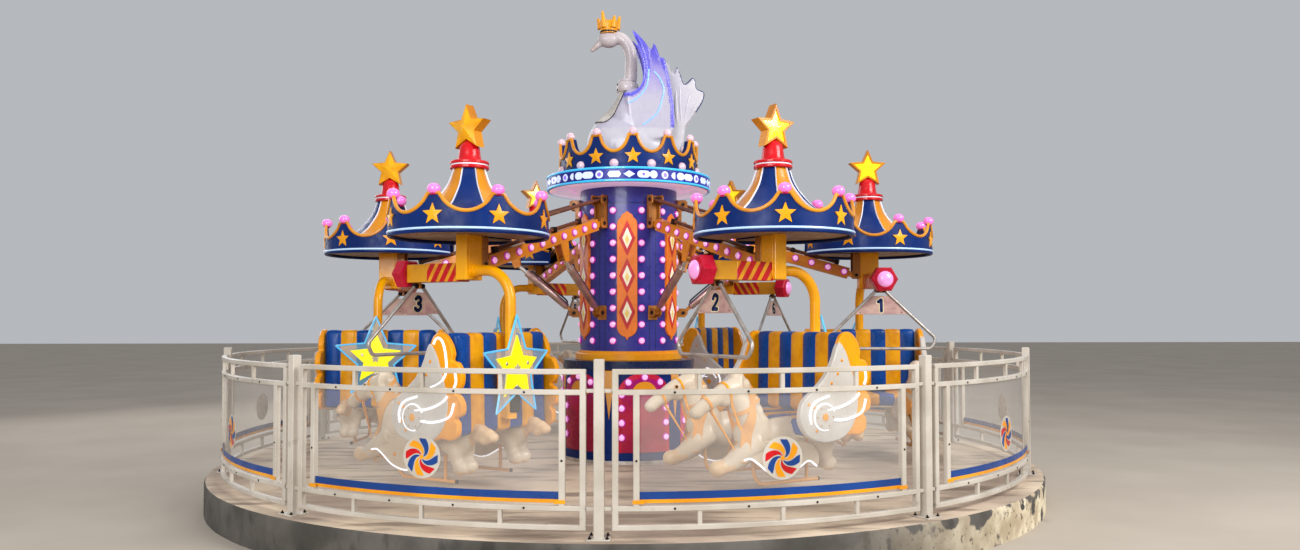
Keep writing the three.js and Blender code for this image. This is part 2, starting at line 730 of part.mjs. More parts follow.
function carriage() {
  const backrest = block(BACKREST_X, [-BENCH_HALF, BENCH_HALF], BACKREST_Z);
  const seat = block(SEAT_X, [-BENCH_HALF, BENCH_HALF], SEAT_Z);
  const shells = [-1, 1].map((side) => {
    const [y0, y1] = side > 0 ? SHELL_Y : [-SHELL_Y[1], -SHELL_Y[0]];
    return plateXZ(SHELL_OUTLINE, y0, y1);
  });
  const pinReach = SHELL_Y[0] + 10;
  const shellPins = block(SHELL_PIN_X, [-pinReach, pinReach], SHELL_PIN_Z);
  const starOutlineXZ = starOutline([0, REAR_STAR_Z], REAR_STAR_R, REAR_STAR_WAIST_R);
  const rearStar = plateXZ(starOutlineXZ, 0, REAR_STAR_T).rotateZ(Math.PI / 2);
  rearStar.translate(REAR_STAR_X, 0, 0);
  const socketTop = TUBE_FOOT_Z - RUNNING_GAP;
  const socketR = TUBE_R + 10;
  const socket = bar([TUBE_BACK_X, 0, SOCKET_BOTTOM_Z], [TUBE_BACK_X, 0, socketTop], socketR, 10);
  const bridge = block([TUBE_BACK_X, SEAT_X[0] + 20], [-socketR, socketR], BRIDGE_Z);
  const starBracket = block([REAR_STAR_X - REAR_STAR_T / 2, TUBE_BACK_X], [-TUBE_R, TUBE_R], STAR_BRACKET_Z);
  const pieces = [backrest, seat, ...shells, shellPins, rearStar, socket, bridge, starBracket];
  return join(...pieces, ...pony(-1), ...pony(1));
}

// Lap bar: a triangular hoop with rounded lower corners, hung from two sleeves, and its number plate
function lapBar() {
  const [pivotX, pivotZ] = LAP_PIVOT;
  const sleeveIn = LAP_LUG_T / 2 + RUNNING_GAP;
  const sleeveOut = sleeveIn + 42;
  const drop = LAP_BAR_Z - pivotZ;
  const d = 2 * LAP_TUBE_R;
  const inside = sleeveIn + 6;
  const right = [
    [LAP_BAR_HALF - LAP_SLEEVE_R, drop - LAP_TUBE_R],
    [LAP_BAR_HALF + d, drop + HOOP_CORNER],
    [sleeveOut, 0],
    [inside, 0],
    [inside, -LAP_SLEEVE_R],
    [LAP_BAR_HALF, drop + HOOP_CORNER + 5],
    [LAP_BAR_HALF - LAP_SLEEVE_R - 10, drop + LAP_TUBE_R],
  ];
  const outer = [...right, ...right.map(([y, z]) => [-y, z]).reverse()];
  const [low, high] = PLATE_HALF;
  const [plateLow, plateHigh] = PLATE_Z.map((z) => z - pivotZ);
  const plateOutline = [[-low, plateLow], [low, plateLow], [high, plateHigh], [-high, plateHigh]];
  const lean = Math.atan2(LAP_BAR_X - pivotX, -drop);
  const hoop = plateXZ(outer, -LAP_TUBE_R, LAP_TUBE_R);
  const plate = plateXZ(plateOutline, -PLATE_T / 2, PLATE_T / 2);
  for (const piece of [hoop, plate]) piece.rotateZ(Math.PI / 2).rotateY(-lean).translate(pivotX, 0, pivotZ);
  const sleeves = [-1, 1].map((side) =>
    bar([pivotX, side * sleeveIn, pivotZ], [pivotX, side * sleeveOut, pivotZ], LAP_SLEEVE_R),
  );
  return join(hoop, plate, ...sleeves);
}

// Two bays of the fence as one piece
function fenceBays(bearings) {
  const [first, second] = bearings.map((bearing, i) => fenceBay(bearing, i === 0));
  return join(first, second);
}

// One post and the panel that follows it round the ring. The spacers at the bay's end stop short of the
// next post, or run into it inside one pair of bays.
function fenceBay(bearing, joinsNext) {
  const pitch = 360 / FENCE_POSTS;
  const arc = (millimetres) => THREE.MathUtils.radToDeg(millimetres / FENCE_R);
  const z = (height) => PLATFORM_Z + height;
  const steps = 3;
  const deep = [FENCE_R - RAIL_W / 2, FENCE_R + RAIL_W / 2];
  const span = [bearing + arc(PANEL_GAP), bearing + pitch - arc(PANEL_GAP)];
  const inset = [bearing + arc(SHEET_INSET), bearing + pitch - arc(SHEET_INSET)];
  const pieces = [];
  const postHalf = FENCE_POST_W / 2;
  const baseHalf = FENCE_BASE_W / 2;
  const atPost = (piece) => piece.rotateZ(degrees(bearing));
  const postY = [-FENCE_R - postHalf, -FENCE_R + postHalf];
  const baseY = [-FENCE_R - baseHalf, -FENCE_R + baseHalf];
  pieces.push(atPost(block([-postHalf, postHalf], postY, [PLATFORM_Z, FENCE_POST_TOP_Z])));
  pieces.push(atPost(block([-baseHalf, baseHalf], baseY, [PLATFORM_Z, PLATFORM_Z + FENCE_BASE_H])));
  for (const height of RAIL_Z) {
    pieces.push(sector(deep, [z(height) - RAIL_H / 2, z(height) + RAIL_H / 2], span, steps));
  }
  const uprightArc = arc(RAIL_W);
  const upright = (start, low, high) => sector(deep, [z(low), z(high)], [start, start + uprightArc], 1);
  pieces.push(upright(span[0], RAIL_Z[0], RAIL_Z[3]));
  pieces.push(upright(span[1] - uprightArc, RAIL_Z[0], RAIL_Z[3]));
  pieces.push(upright(inset[0], RAIL_Z[1], RAIL_Z[2]));
  pieces.push(upright(inset[1] - uprightArc, RAIL_Z[1], RAIL_Z[2]));
  const sheetR = [FENCE_R - SHEET_T / 2, FENCE_R + SHEET_T / 2];
  pieces.push(sector(sheetR, [z(RAIL_Z[1]), z(RAIL_Z[2])], inset, steps));
  for (const height of SPACER_Z) {
    const spacerZ = [z(height) - SPACER_H / 2, z(height) + SPACER_H / 2];
    const spacerR = [FENCE_R - SPACER_H / 2, FENCE_R + SPACER_H / 2];
    pieces.push(sector(spacerR, spacerZ, [bearing, span[0] + uprightArc / 2], 1));
    const spacerEnd = bearing + pitch - arc(joinsNext ? 0 : postHalf + RUNNING_GAP);
    pieces.push(sector(spacerR, spacerZ, [span[1] - uprightArc / 2, spacerEnd], 1));
  }
  return join(...pieces);
}

const ride = new THREE.Group();
ride.add(meshOf("plinth", plinth(), CONCRETE, 0, 0.9));
ride.add(meshOf("base_drum", baseDrum(), CRIMSON));
for (let i = 0; i < FENCE_POSTS; i += 2) {
  const bearings = [i, i + 1].map((post) => FIRST_POST_BEARING + (post * 360) / FENCE_POSTS);
  ride.add(meshOf(`fence_bays_${i + 1}_${i + 2}`, fenceBays(bearings), WHITE, 0.2));
}
ride.add(meshOf("mast_column", mastColumn(), NAVY));
ride.add(meshOf("top_crown", topCrown(), NAVY));
ride.add(meshOf("swan", swan(), WHITE));

unitBearings.forEach((bearing, i) => {
  const unit = new THREE.Group();
  unit.rotation.z = frameTurn(bearing);
  ride.add(unit);
  const number = i + 1;
  const arm = meshOf(`arm_${number}`, armBeam(), GOLD);
  arm.position.set(0, PIVOT_R, BEAM_PIVOT_Z);
  arm.rotation.x = beamTilt;
  const upperLink = meshOf(`link_${number}`, link(), STEEL, 0.6);
  upperLink.position.set(0, PIVOT_R, BEAM_PIVOT_Z + LINK_RISE);
  upperLink.rotation.x = beamTilt;
  const tube = meshOf(`ram_tube_${number}`, ramTube(), STEEL, 0.5);
  const rod = meshOf(`ram_rod_${number}`, ramRod(), STEEL, 0.9, 0.25);
  for (const piece of [tube, rod]) {
    piece.position.set(0, RAM_FOOT[0], RAM_FOOT[1]);
    piece.rotation.x = ramTilt;
  }
  unit.add(arm, upperLink, tube, rod);
  const gondola = new THREE.Group();
  gondola.position.y = POST_R;
  unit.add(gondola);
  gondola.add(meshOf(`hanger_${number}`, hanger(), YELLOW, 0.2));
  gondola.add(meshOf(`canopy_${number}`, canopy(FORWARD_STAR_UNITS.includes(number)), NAVY));
  gondola.add(meshOf(`carriage_${number}`, carriage(), CREAM));
  gondola.add(meshOf(`lap_bar_${number}`, lapBar(), RED, 0.4));
});

export default ride;
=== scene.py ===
"""Looks of the chair swing ride.

Six canopied gondolas hang from lifting arms round a lit mast, on a fenced round plinth. Metres, +Z up, the
origin at the centre of the plinth's underside, and the front of the ride facing -Y. A bearing is measured
from the front and grows towards +X. A gondola's own frame has x forward, y outward from the mast, and its
origin on the hanger post's axis at ground height.
"""

import math

import bmesh
import bpy
import numpy as np
from mathutils import Matrix, Vector
from mathutils.bvhtree import BVHTree
from mathutils.geometry import delaunay_2d_cdt


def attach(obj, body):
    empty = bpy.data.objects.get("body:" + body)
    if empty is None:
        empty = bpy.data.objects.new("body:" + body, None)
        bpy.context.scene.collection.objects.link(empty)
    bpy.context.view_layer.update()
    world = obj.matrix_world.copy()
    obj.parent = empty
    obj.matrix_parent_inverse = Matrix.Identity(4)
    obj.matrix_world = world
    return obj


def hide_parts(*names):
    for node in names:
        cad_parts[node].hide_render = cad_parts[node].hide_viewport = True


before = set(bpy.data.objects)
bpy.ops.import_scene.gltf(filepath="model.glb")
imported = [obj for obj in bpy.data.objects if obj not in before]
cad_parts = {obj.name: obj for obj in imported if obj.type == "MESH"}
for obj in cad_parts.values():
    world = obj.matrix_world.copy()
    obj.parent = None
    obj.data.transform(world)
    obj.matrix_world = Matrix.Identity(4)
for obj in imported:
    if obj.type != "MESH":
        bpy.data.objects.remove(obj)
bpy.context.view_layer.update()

TAU = 2 * math.pi
UNITS = range(1, 7)
FIRST_ARM_BEARING = 28
UNIT_PITCH = 60
PLATES = {1: "2", 2: "1", 3: "6", 4: "5", 5: "4", 6: "3"}

PLINTH_R = 3.95
PLATFORM_Z = 0.27
DRUM_R = 0.66
DRUM_TOP_Z = 1.25
COLUMN_R = 0.495
COLUMN_TOP_Z = 2.96
FLANGE_Z = (1.2505, 1.318)
TRIM_W = 0.2
TRIM_Z = (1.45, 2.715)
BRIM_R = 0.846
BRIM_TOP_Z = 3.1
CROWN_R = 0.70
CROWN_T = 0.055
CROWN_VALLEY_Z = 3.26
CROWN_PEAK_Z = 3.435
CROWN_PEAKS = 12
CROWN_PHASE = 3

PIVOT_R = 0.56
BEAM_PIVOT_Z = 2.595
LINK_RISE = 0.235
HANGER_PIVOT_R = 2.33
HANGER_PIVOT_Z = 2.105
BEAM_W = 0.09
ARM_LAMP_R = 0.034
WALL_LAMP_R = 0.036
RAM_FOOT = (0.56, 1.72)
RAM_HEAD = (1.15, 2.22)
CHEEK_X = (0.052, 0.064)
RAM_CHEEK_X = (0.03, 0.042)

POST_R = 2.46
POST_W = 0.115
POST_D = 0.2
POST_Z = (1.97, 2.376)
BOOM_Z = (1.96, 2.11)
BOOM_W = 0.13
STRIPES_END = 0.4
BOOM_END = 0.625
LAMP_END = 0.76
LAMP_R = 0.128
TUBE_R = 0.043
TUBE_BACK_X = -0.425
TUBE_TOP_Z = 2.045
TUBE_FOOT_Z = 1.10

CANOPY_R = 0.628
CANOPY_RIM_R = 0.645
CANOPY_RIM_Z = 2.32
CANOPY_VALLEY_Z = 2.465
CANOPY_PEAK_Z = 2.605
CANOPY_PEAKS = 8
CANOPY_PHASE = 16
STAR_Z = 3.2
STAR_R = 0.195
STAR_WAIST_R = 0.09
STAR_T = 0.1
SLOT_HALF = 0.075
SLOT_TOP_Z = 2.545

BENCH_HALF = 0.545
STRIPES = 7
PONY_Y = 0.33
RUNNER_Z = 0.41
REAR_STAR_Z = 1.27
REAR_STAR_X = -0.488

LAP_PIVOT = (0.55, 1.932)
LAP_BAR = (0.59, 1.37)
LAP_HALF = 0.5
LAP_TUBE_R = 0.0155
PLATE_Z = (1.70, 1.88)
PLATE_HALF = (0.255, 0.085)

FENCE_R = 3.8
FENCE_POSTS = 10
FIRST_POST_BEARING = -3.2
FENCE_POST_W = 0.066
FENCE_POST_TOP_Z = 1.4
RAIL_W = 0.04
RAIL_H = 0.034
RAIL_Z = (0.07, 0.19, 0.92, 1.05)
PANEL_GAP = 0.082
SHEET_INSET = 0.215
FENCE_BASE = 0.075
FENCE_BOLT = 0.054
BALUSTER_HALF = 0.014
SPACER_Z = (PLATFORM_Z + 0.19, PLATFORM_Z + 0.93)
STRIPE_Z = (PLATFORM_Z + 0.224, PLATFORM_Z + 0.247, PLATFORM_Z + 0.295)
PRINT_Y = (0.003, 0.0042)


def linear(code):
    """Linear colour of an sRGB hex code."""
    parts = [int(code[i : i + 2], 16) / 255 for i in (0, 2, 4)]
    return tuple(c / 12.92 if c <= 0.04045 else ((c + 0.055) / 1.055) ** 2.4 for c in parts)


class Look:
    """A node material in the making."""

    def __init__(self, name, rough=0.4, metal=0.0, coat=0.0, alpha=1.0, shine=0.5):
        self.material = bpy.data.materials.new(name)
        self.material.use_nodes = True
        self.nodes = self.material.node_tree.nodes
        self.links = self.material.node_tree.links
        self.shader = self.nodes["Principled BSDF"]
        self.set("Roughness", rough)
        self.set("Metallic", metal)
        self.set("Coat Weight", coat)
        self.set("Coat Roughness", 0.08)
        self.set("Alpha", alpha)
        self.set("Specular IOR Level", shine)
        self.place = self.nodes.new("ShaderNodeTexCoord").outputs["Object"]

    def set(self, socket, value):
        if isinstance(value, tuple):
            value = (*value[:3], 1.0)
        self.shader.inputs[socket].default_value = value

    def wire(self, output, socket):
        self.links.new(output, self.shader.inputs[socket])

    def maths(self, operation, a, b=0.0, c=0.0):
        """A sum of numbers and node outputs."""
        node = self.nodes.new("ShaderNodeMath")
        node.operation = operation
        for i, value in enumerate((a, b, c)):
            if isinstance(value, (int, float)):
                node.inputs[i].default_value = value
            else:
                self.links.new(value, node.inputs[i])
        return node.outputs[0]

    def axis(self, index):
        """One coordinate of the place on the piece."""
        node = self.nodes.new("ShaderNodeSeparateXYZ")
        self.links.new(self.place, node.inputs[0])
        return node.outputs[index]

    def stretched(self, scale):
        """The place on the piece, scaled along each axis."""
        node = self.nodes.new("ShaderNodeMapping")
        node.inputs["Scale"].default_value = scale
        self.links.new(self.place, node.inputs["Vector"])
        return node.outputs[0]

    def noise(self, scale, detail=3.0, place=None):
        """Cloudy noise from 0 to 1."""
        node = self.nodes.new("ShaderNodeTexNoise")
        node.inputs["Scale"].default_value = scale
        node.inputs["Detail"].default_value = detail
        self.links.new(place or self.place, node.inputs["Vector"])
        return node.outputs["Fac"]

    def ramp(self, value, low, high, start=0.0, end=1.0):
        """A smooth step of a value from low to high."""
        node = self.nodes.new("ShaderNodeMapRange")
        node.interpolation_type = "SMOOTHSTEP"
        for socket, number in zip(("From Min", "From Max", "To Min", "To Max"), (low, high, start, end)):
            node.inputs[socket].default_value = number
        self.links.new(value, node.inputs["Value"])
        return node.outputs[0]

    def mix(self, share, a, b):
        """Colour a where share is 0 and b where it is 1."""
        node = self.nodes.new("ShaderNodeMix")
        node.data_type = "RGBA"
        for socket, value in zip((0, 6, 7), (share, a, b)):
            if isinstance(value, tuple):
                node.inputs[socket].default_value = (*value[:3], 1.0)
            elif isinstance(value, float):
                node.inputs[socket].default_value = value
            else:
                self.links.new(value, node.inputs[socket])
        return node.outputs[2]

    def bump(self, height, strength, distance=0.002):
        """Fine relief from a height."""
        node = self.nodes.new("ShaderNodeBump")
        node.inputs["Strength"].default_value = strength
        node.inputs["Distance"].default_value = distance
        self.links.new(height, node.inputs["Height"])
        self.wire(node.outputs[0], "Normal")

    def drift(self, colour, shade, scale, detail=3.0, low=0.35, high=0.7):
        """A colour that drifts to its shade in soft patches."""
        return self.mix(self.ramp(self.noise(scale, detail), low, high), linear(colour), linear(shade))

    def gloss(self, scale, detail, low, high):
        """Roughness that wavers between two values."""
        self.wire(self.ramp(self.noise(scale, detail), 0.3, 0.7, low, high), "Roughness")

    def glow(self, colour, strength):
        self.set("Emission Color", colour)
        self.set("Emission Strength", strength)


def painted(name, colour, shade, rough=0.3, metal=0.0, coat=0.15, patch=2.5, dirt=None, dirt_at=0.62,
            grain=0.25, shine=0.3):
    """Gloss paint or gel coat, drifting to a shade in patches, with dirt in spots and orange-peel bump."""
    look = Look(name, rough, metal, coat, shine=shine)
    base = look.drift(colour, shade, patch)
    if dirt:
        spots = look.ramp(look.noise(9.0, 8.0), dirt_at, dirt_at + 0.12)
        base = look.mix(look.maths("MULTIPLY", spots, 0.7), base, linear(dirt))
    look.wire(base, "Base Color")
    look.gloss(14.0, 5.0, rough * 0.75, min(1.0, rough * 1.45))
    look.bump(look.noise(160.0, 2.0), grain, 0.0012)
    return look.material


def lit(name, colour, glow, strength, rough=0.2):
    """A lit cap, face or tube."""
    look = Look(name, rough, coat=0.5)
    look.wire(look.drift(colour, glow, 30.0, low=0.3), "Base Color")
    look.glow(linear(glow), strength)
    look.bump(look.noise(220.0, 1.0), 0.1, 0.0008)
    return look.material


def concrete():
    """Trowelled top; dark grey side, partly painted shade, with damp streaks; cream paint peeling off the
    right-hand side.
    """
    look = Look("weathered_concrete", 0.85)
    normal = look.nodes.new("ShaderNodeNewGeometry").outputs["Normal"]
    parts = look.nodes.new("ShaderNodeSeparateXYZ")
    look.links.new(normal, parts.inputs[0])
    flat = look.ramp(parts.outputs[2], 0.6, 0.9)
    top = look.drift("dcc8ae", "aa9786", 1.1, 6.0, 0.36, 0.64)
    swept = look.noise(2.6, 8.0, look.stretched((0.5, 2.4, 1.0)))
    top = look.mix(look.ramp(swept, 0.5, 0.66, 0.0, 0.85), top, linear("8a7868"))
    # Painted shade in part: the side's dark grey stands for the shadow on the plinth's side as well as the
    # concrete's own tone
    side = look.drift("3e3a34", "5c5751", 2.4, 9.0, 0.35, 0.65)
    streaks = look.noise(6.0, 8.0, look.stretched((1.0, 1.0, 0.45)))
    side = look.mix(look.ramp(streaks, 0.55, 0.72, 0.0, 0.7), side, linear("2a2723"))
    chipped = look.maths("SUBTRACT", look.noise(5.5, 11.0), look.ramp(look.axis(2), 0.12, 0.27, 0.0, 0.14))
    peeled = look.maths("MULTIPLY", look.ramp(chipped, 0.35, 0.42), look.ramp(look.axis(0), 1.2, 3.3))
    cream = look.drift("e8dabc", "b8a688", 5.0, 9.0, 0.35, 0.65)
    cream = look.mix(look.ramp(look.noise(26.0, 9.0), 0.58, 0.68), cream, linear("6c5f4c"))
    look.wire(look.mix(flat, look.mix(peeled, side, cream), top), "Base Color")
    look.gloss(6.0, 6.0, 0.72, 0.95)
    look.bump(look.maths("ADD", look.noise(24.0, 9.0), look.maths("MULTIPLY", peeled, 0.6)), 0.55, 0.006)
    return look.material


def vinyl(name, colour, shade):
    """Gloss upholstery vinyl with a fine leather grain."""
    look = Look(name, 0.34, coat=0.05, shine=0.2)
    look.wire(look.drift(colour, shade, 7.0, 4.0), "Base Color")
    cells = look.nodes.new("ShaderNodeTexVoronoi")
    cells.inputs["Scale"].default_value = 260.0
    look.links.new(look.place, cells.inputs["Vector"])
    look.gloss(20.0, 3.0, 0.24, 0.42)
    creases = look.noise(16.0, 3.0, look.stretched((1.0, 2.2, 0.5)))
    height = look.maths("ADD", look.maths("MULTIPLY", cells.outputs["Distance"], 0.2), creases)
    look.bump(height, 0.35, 0.004)
    return look.material


def metal(name, colour, shade, rough=0.3, streak=(60.0, 60.0, 2.0), share=1.0):
    """Drawn or brushed metal, smeared by hands and weather."""
    look = Look(name, rough, share)
    fine = look.noise(3.0, 6.0, look.stretched(streak))
    look.wire(look.drift(colour, shade, 8.0, 5.0), "Base Color")
    look.wire(look.ramp(fine, 0.3, 0.7, rough * 0.7, rough * 1.5), "Roughness")
    look.bump(fine, 0.12, 0.001)
    return look.material


def acrylic(name, tint, alpha, rough=0.06):
    """Clear sheet, a little hazy, with wipe marks in its gloss."""
    look = Look(name, rough, alpha=alpha, shine=0.4)
    look.wire(look.drift(tint, "e8e4de", 2.2, 6.0, 0.4, 0.75), "Base Color")
    look.wire(look.ramp(look.noise(5.0, 7.0), 0.35, 0.75, rough, rough + 0.16), "Roughness")
    look.material.surface_render_method = "BLENDED"
    return look.material


def striped_boom():
    """Slanting red stripes on gold."""
    look = Look("boom_stripes", 0.3, coat=0.15, shine=0.3)
    slant = look.maths("ADD", look.axis(0), look.maths("MULTIPLY", look.axis(2), 0.62))
    wave = look.maths("FRACT", look.maths("MULTIPLY", slant, 10.8))
    stripes = look.ramp(wave, 0.39, 0.41)
    gold = look.drift("eda312", "cf8410", 9.0)
    red = look.drift("c80812", "a00610", 8.0)
    look.wire(look.mix(stripes, gold, red), "Base Color")
    look.gloss(12.0, 5.0, 0.22, 0.45)
    look.bump(look.maths("ADD", look.maths("MULTIPLY", stripes, 0.3), look.noise(160.0)), 0.2, 0.001)
    return look.material


def plate_wood():
    """Pinkish planks with a printed grain."""
    look = Look("plate_wood", 0.45, coat=0.2)
    grain = look.noise(7.0, 8.0, look.stretched((1.0, 1.6, 26.0)))
    plank = look.maths("FRACT", look.maths("MULTIPLY", look.axis(2), 34.0))
    joint = look.maths("SUBTRACT", 1.0, look.ramp(plank, 0.0, 0.09))
    base = look.mix(look.ramp(grain, 0.3, 0.7), linear("cfae9e"), linear("a87f7c"))
    look.wire(look.mix(look.maths("MULTIPLY", joint, 0.8), base, linear("6a4a4c")), "Base Color")
    look.wire(look.ramp(grain, 0.3, 0.7, 0.36, 0.56), "Roughness")
    look.bump(look.maths("SUBTRACT", grain, joint), 0.3, 0.002)
    return look.material


def winged():
    """The swan's wings: pearl white that turns lavender and then violet towards the tips."""
    look = Look("wing_lilac", 0.25, coat=0.3, shine=0.35)
    drift = look.maths("ADD", look.axis(2), look.maths("MULTIPLY", look.noise(5.0, 5.0), 0.3))
    base = look.mix(look.ramp(drift, 3.95, 4.35), linear("b9b5c6"), linear("9c92cc"))
    base = look.mix(look.ramp(drift, 4.3, 4.55), base, linear("5c55c8"))
    look.wire(base, "Base Color")
    look.gloss(14.0, 5.0, 0.18, 0.36)
    look.bump(look.noise(90.0, 3.0, look.stretched((1.0, 1.0, 0.25))), 0.2, 0.0015)
    return look.material


def panel_paint():
    """Crimson that turns magenta towards the lamps of the arch."""
    look = Look("crimson_panel", 0.3, coat=0.15, shine=0.2)
    patches = look.ramp(look.noise(3.5), 0.35, 0.7)
    low = look.mix(patches, linear("b01840"), linear("941238"))
    high = look.mix(patches, linear("a40e6c"), linear("8a0a5c"))
    look.wire(look.mix(look.ramp(look.axis(2), 0.75, 1.08), low, high), "Base Color")
    look.gloss(14.0, 5.0, 0.22, 0.42)
    look.bump(look.noise(160.0, 2.0), 0.25, 0.0012)
    return look.material


MATERIALS = {
    "concrete": concrete(),
    "bar_steel": metal("bar_steel", "bdb6b0", "9a928b", 0.4, share=0.7),
    "white": painted("white_paint", "c6beb2", "b2a99b", 0.32, dirt="807566", dirt_at=0.66),
    "line_white": painted("line_white", "e6e6ee", "d0d2de", 0.3),
    "navy": painted("navy_paint", "062a6e", "041f58", 0.36, coat=0.03, patch=1.8, shine=0.15),
    "roof_navy": painted("roof_navy", "07286a", "051e54", 0.34, coat=0.06, patch=1.8, shine=0.18),
    "mast_navy": painted("mast_navy", "32308c", "252478", 0.3, coat=0.3, patch=1.6),
    "band_navy": painted("band_navy", "0c2048", "081636", 0.25, coat=0.3),
    "crimson": panel_paint(),
    "crimson_rim": painted("crimson_rim", "c8123c", "a00e30", 0.3),
    "gold": painted("gold_paint", "f0a210", "d8860a", 0.3, dirt="9c6014", dirt_at=0.7),
    "bronze": painted("bronze_paint", "b87424", "8d5418", 0.35, 0.2, dirt="6b4018"),
    "yellow": painted("yellow_paint", "f6ac02", "e49602", 0.28, coat=0.2, dirt="a8700c", dirt_at=0.72),
    "red": painted("red_paint", "cc0414", "a8040f", 0.28, coat=0.25),
    "pale_red": painted("pale_red_paint", "c41c58", "a81848", 0.3),
    "sky": painted("sky_paint", "5f9fe0", "4a86cc", 0.28),
    "brown": painted("brown_paint", "6e3c20", "4c2818", 0.45, coat=0.1, dirt="8c5630", dirt_at=0.58),
    "swan": painted("swan_shell", "c8c5ce", "b6b3c0", 0.24, coat=0.2, patch=3.0, grain=0.15),
    "swan_white": painted("swan_white", "cfccd0", "bfbcc6", 0.28, coat=0.2, patch=3.0, grain=0.15),
    "swan_shade": painted("swan_shade", "beb8b2", "a09a94", 0.35, patch=6.0),
    "cream": painted("cream_shell", "cfbfa9", "bfab90", 0.3, coat=0.2, dirt="9c7e5e", dirt_at=0.7, grain=0.2),
    "shell_white": painted("shell_white", "cdc8c1", "bdb6ac", 0.28, coat=0.15, dirt="a39480", dirt_at=0.72),
    "peach": painted("peach_gold", "dca05c", "cb8a46", 0.3, coat=0.2),
    "gold_shell": painted("gold_shell", "f6a406", "e08a04", 0.24, coat=0.3),
    "blue_vinyl": vinyl("blue_vinyl", "00408e", "003474"),
    "gold_vinyl": vinyl("gold_vinyl", "e09a08", "c88006"),
    "steel": metal("steel", "dcd8d4", "b8b2ac", 0.36),
    "pink_steel": metal("pink_steel", "d8bcb4", "b0938c", 0.36),
    "dark_steel": metal("dark_steel", "37302f", "221e1e", 0.45),
    "rubber": painted("black_rubber", "1c1a1c", "2b2628", 0.6, coat=0.0),
    "bulb": lit("pink_bulb", "f6bcea", "f2b0e8", 0.42),
    "bulb_collar": lit("bulb_collar", "c030a8", "c028b0", 0.2),
    "globe": lit("pink_globe", "f080d0", "ee74cc", 0.25),
    "pearl_globe": lit("pearl_globe", "dcc2ca", "d8b0bc", 0.12),
    "star_face": lit("star_face", "ffe400", "ffda00", 0.5),
    "neon_white": lit("neon_white", "f4f6ff", "eef2ff", 0.8),
    "neon_violet": lit("neon_violet", "6660e4", "5a56e0", 0.5),
    "neon_blue": lit("neon_blue", "88b4ff", "78aaff", 0.7),
    "neon_cyan": lit("neon_cyan", "38b4e4", "30b0e8", 0.45),
    "band_light": lit("band_light", "d8e4fa", "ccdcfa", 0.35),
    "band_violet": lit("band_violet", "8a6cf0", "7c60f0", 0.5),
    "underlight": lit("underlight", "f0dcea", "ecc4e6", 0.5),
    "acrylic": acrylic("clear_acrylic", "d6d0c8", 0.11),
    "star_acrylic": acrylic("blue_acrylic", "a0dcf6", 0.2),
    "boom": striped_boom(),
    "wood": plate_wood(),
    "diamond_white": painted("diamond_white", "fbf6e4", "f3e6b0", 0.3),
    "pane_yellow": painted("pane_yellow", "f0d478", "e6c458", 0.3),
    "number_blue": painted("number_blue", "0a2a6c", "082056", 0.35),
    "print_blue": painted("print_blue", "073f8a", "063474", 0.35),
    "yellow_orange": painted("trim_orange", "ee7a12", "d86c0c", 0.3, dirt="9c5a20", dirt_at=0.7),
    "brim_blue": painted("brim_blue", "241f9a", "181c80", 0.3, coat=0.1),
    "bronze_gold": painted("bronze_gold", "e09420", "c47a16", 0.28, dirt="7c4c1c", dirt_at=0.72),
    "arm_orange": painted("arm_orange", "e08a20", "c87418", 0.32, dirt="9a5c1c", dirt_at=0.68),
    "boom_gold": painted("boom_gold", "d89614", "be7e0e", 0.32, dirt="8a5c1c", dirt_at=0.68),
    "lamp_red": painted("lamp_red", "c41030", "a20c28", 0.28, shine=0.25),
    "lamp_glass": lit("lamp_glass", "e8a0d4", "e490d0", 0.3, 0.12),
    # Painted reflection: the canopies' white ceiling is coloured warm brown for the warm light reflected onto
    # it
    "ceiling": painted("canopy_ceiling_painted_reflection", "a08466", "86684c", 0.5, coat=0.05, dirt="5c4430", dirt_at=0.6),
    # Painted highlight: a faintly glowing pale blue line that stands for the sky's reflection along the top
    # of the canopy's navy rim pipe
    "rim_painted_highlight": lit("rim_painted_highlight", "c0dcf6", "b4d4f6", 0.2),
    "gore_gold": painted("gore_gold", "d88a08", "bc7206", 0.26, coat=0.2, patch=1.6),
    "wall_star": painted("wall_star", "f4a808", "e69204", 0.28),
    "star_gold": painted("star_gold", "d88c10", "bc720a", 0.28),
    "star_back": painted("star_back", "f6b40c", "dc9006", 0.24, coat=0.3, patch=7.0),
    "rim_cyan": lit("star_rim", "58bce8", "48b4ec", 0.25),
    "star_yellow": lit("star_yellow", "fff000", "fff000", 0.25),
    "star_grey": painted("star_grey", "b8ae98", "a0967f", 0.35),
    "pony_pearl": painted("pony_peach", "d8b890", "cca274", 0.28, coat=0.2),
    "swan_neck": painted("swan_neck", "c6bcbe", "b4a9ac", 0.24, coat=0.3, grain=0.15),
    "beak": painted("swan_beak", "c2b3b1", "ab9b99", 0.35),
    "wing_violet": painted("wing_violet", "5a54c6", "6c66cc", 0.26, coat=0.3, patch=8.0),
    "wing_lilac": painted("wing_mid", "8680cc", "9892d0", 0.26, coat=0.3, patch=8.0),
    "wing": winged(),
}
LAMP_LOOKS = ("bulb", "bulb_collar")


# Forms: a form is its points and its faces, and a shape gathers forms with a paint number for each face
def grid(rows, close_rows=False, close_columns=False):
    """Quads between rows of points."""
    rows = np.asarray(rows, float)
    m, n = rows.shape[:2]
    faces = []
    for i in range(m if close_rows else m - 1):
        for j in range(n if close_columns else n - 1):
            k, l = (i + 1) % m, (j + 1) % n
            faces.append((i * n + j, i * n + l, k * n + l, k * n + j))
    return rows.reshape(-1, 3), faces


def loft(rings, closed=False):
    """A skin over closed rings, capped at both ends unless the rings close on themselves."""
    points, faces = grid(rings, closed, True)
    n = len(rings[0])
    if not closed:
        faces += [tuple(range(n)), tuple(range(len(points) - n, len(points)))]
    return points, faces


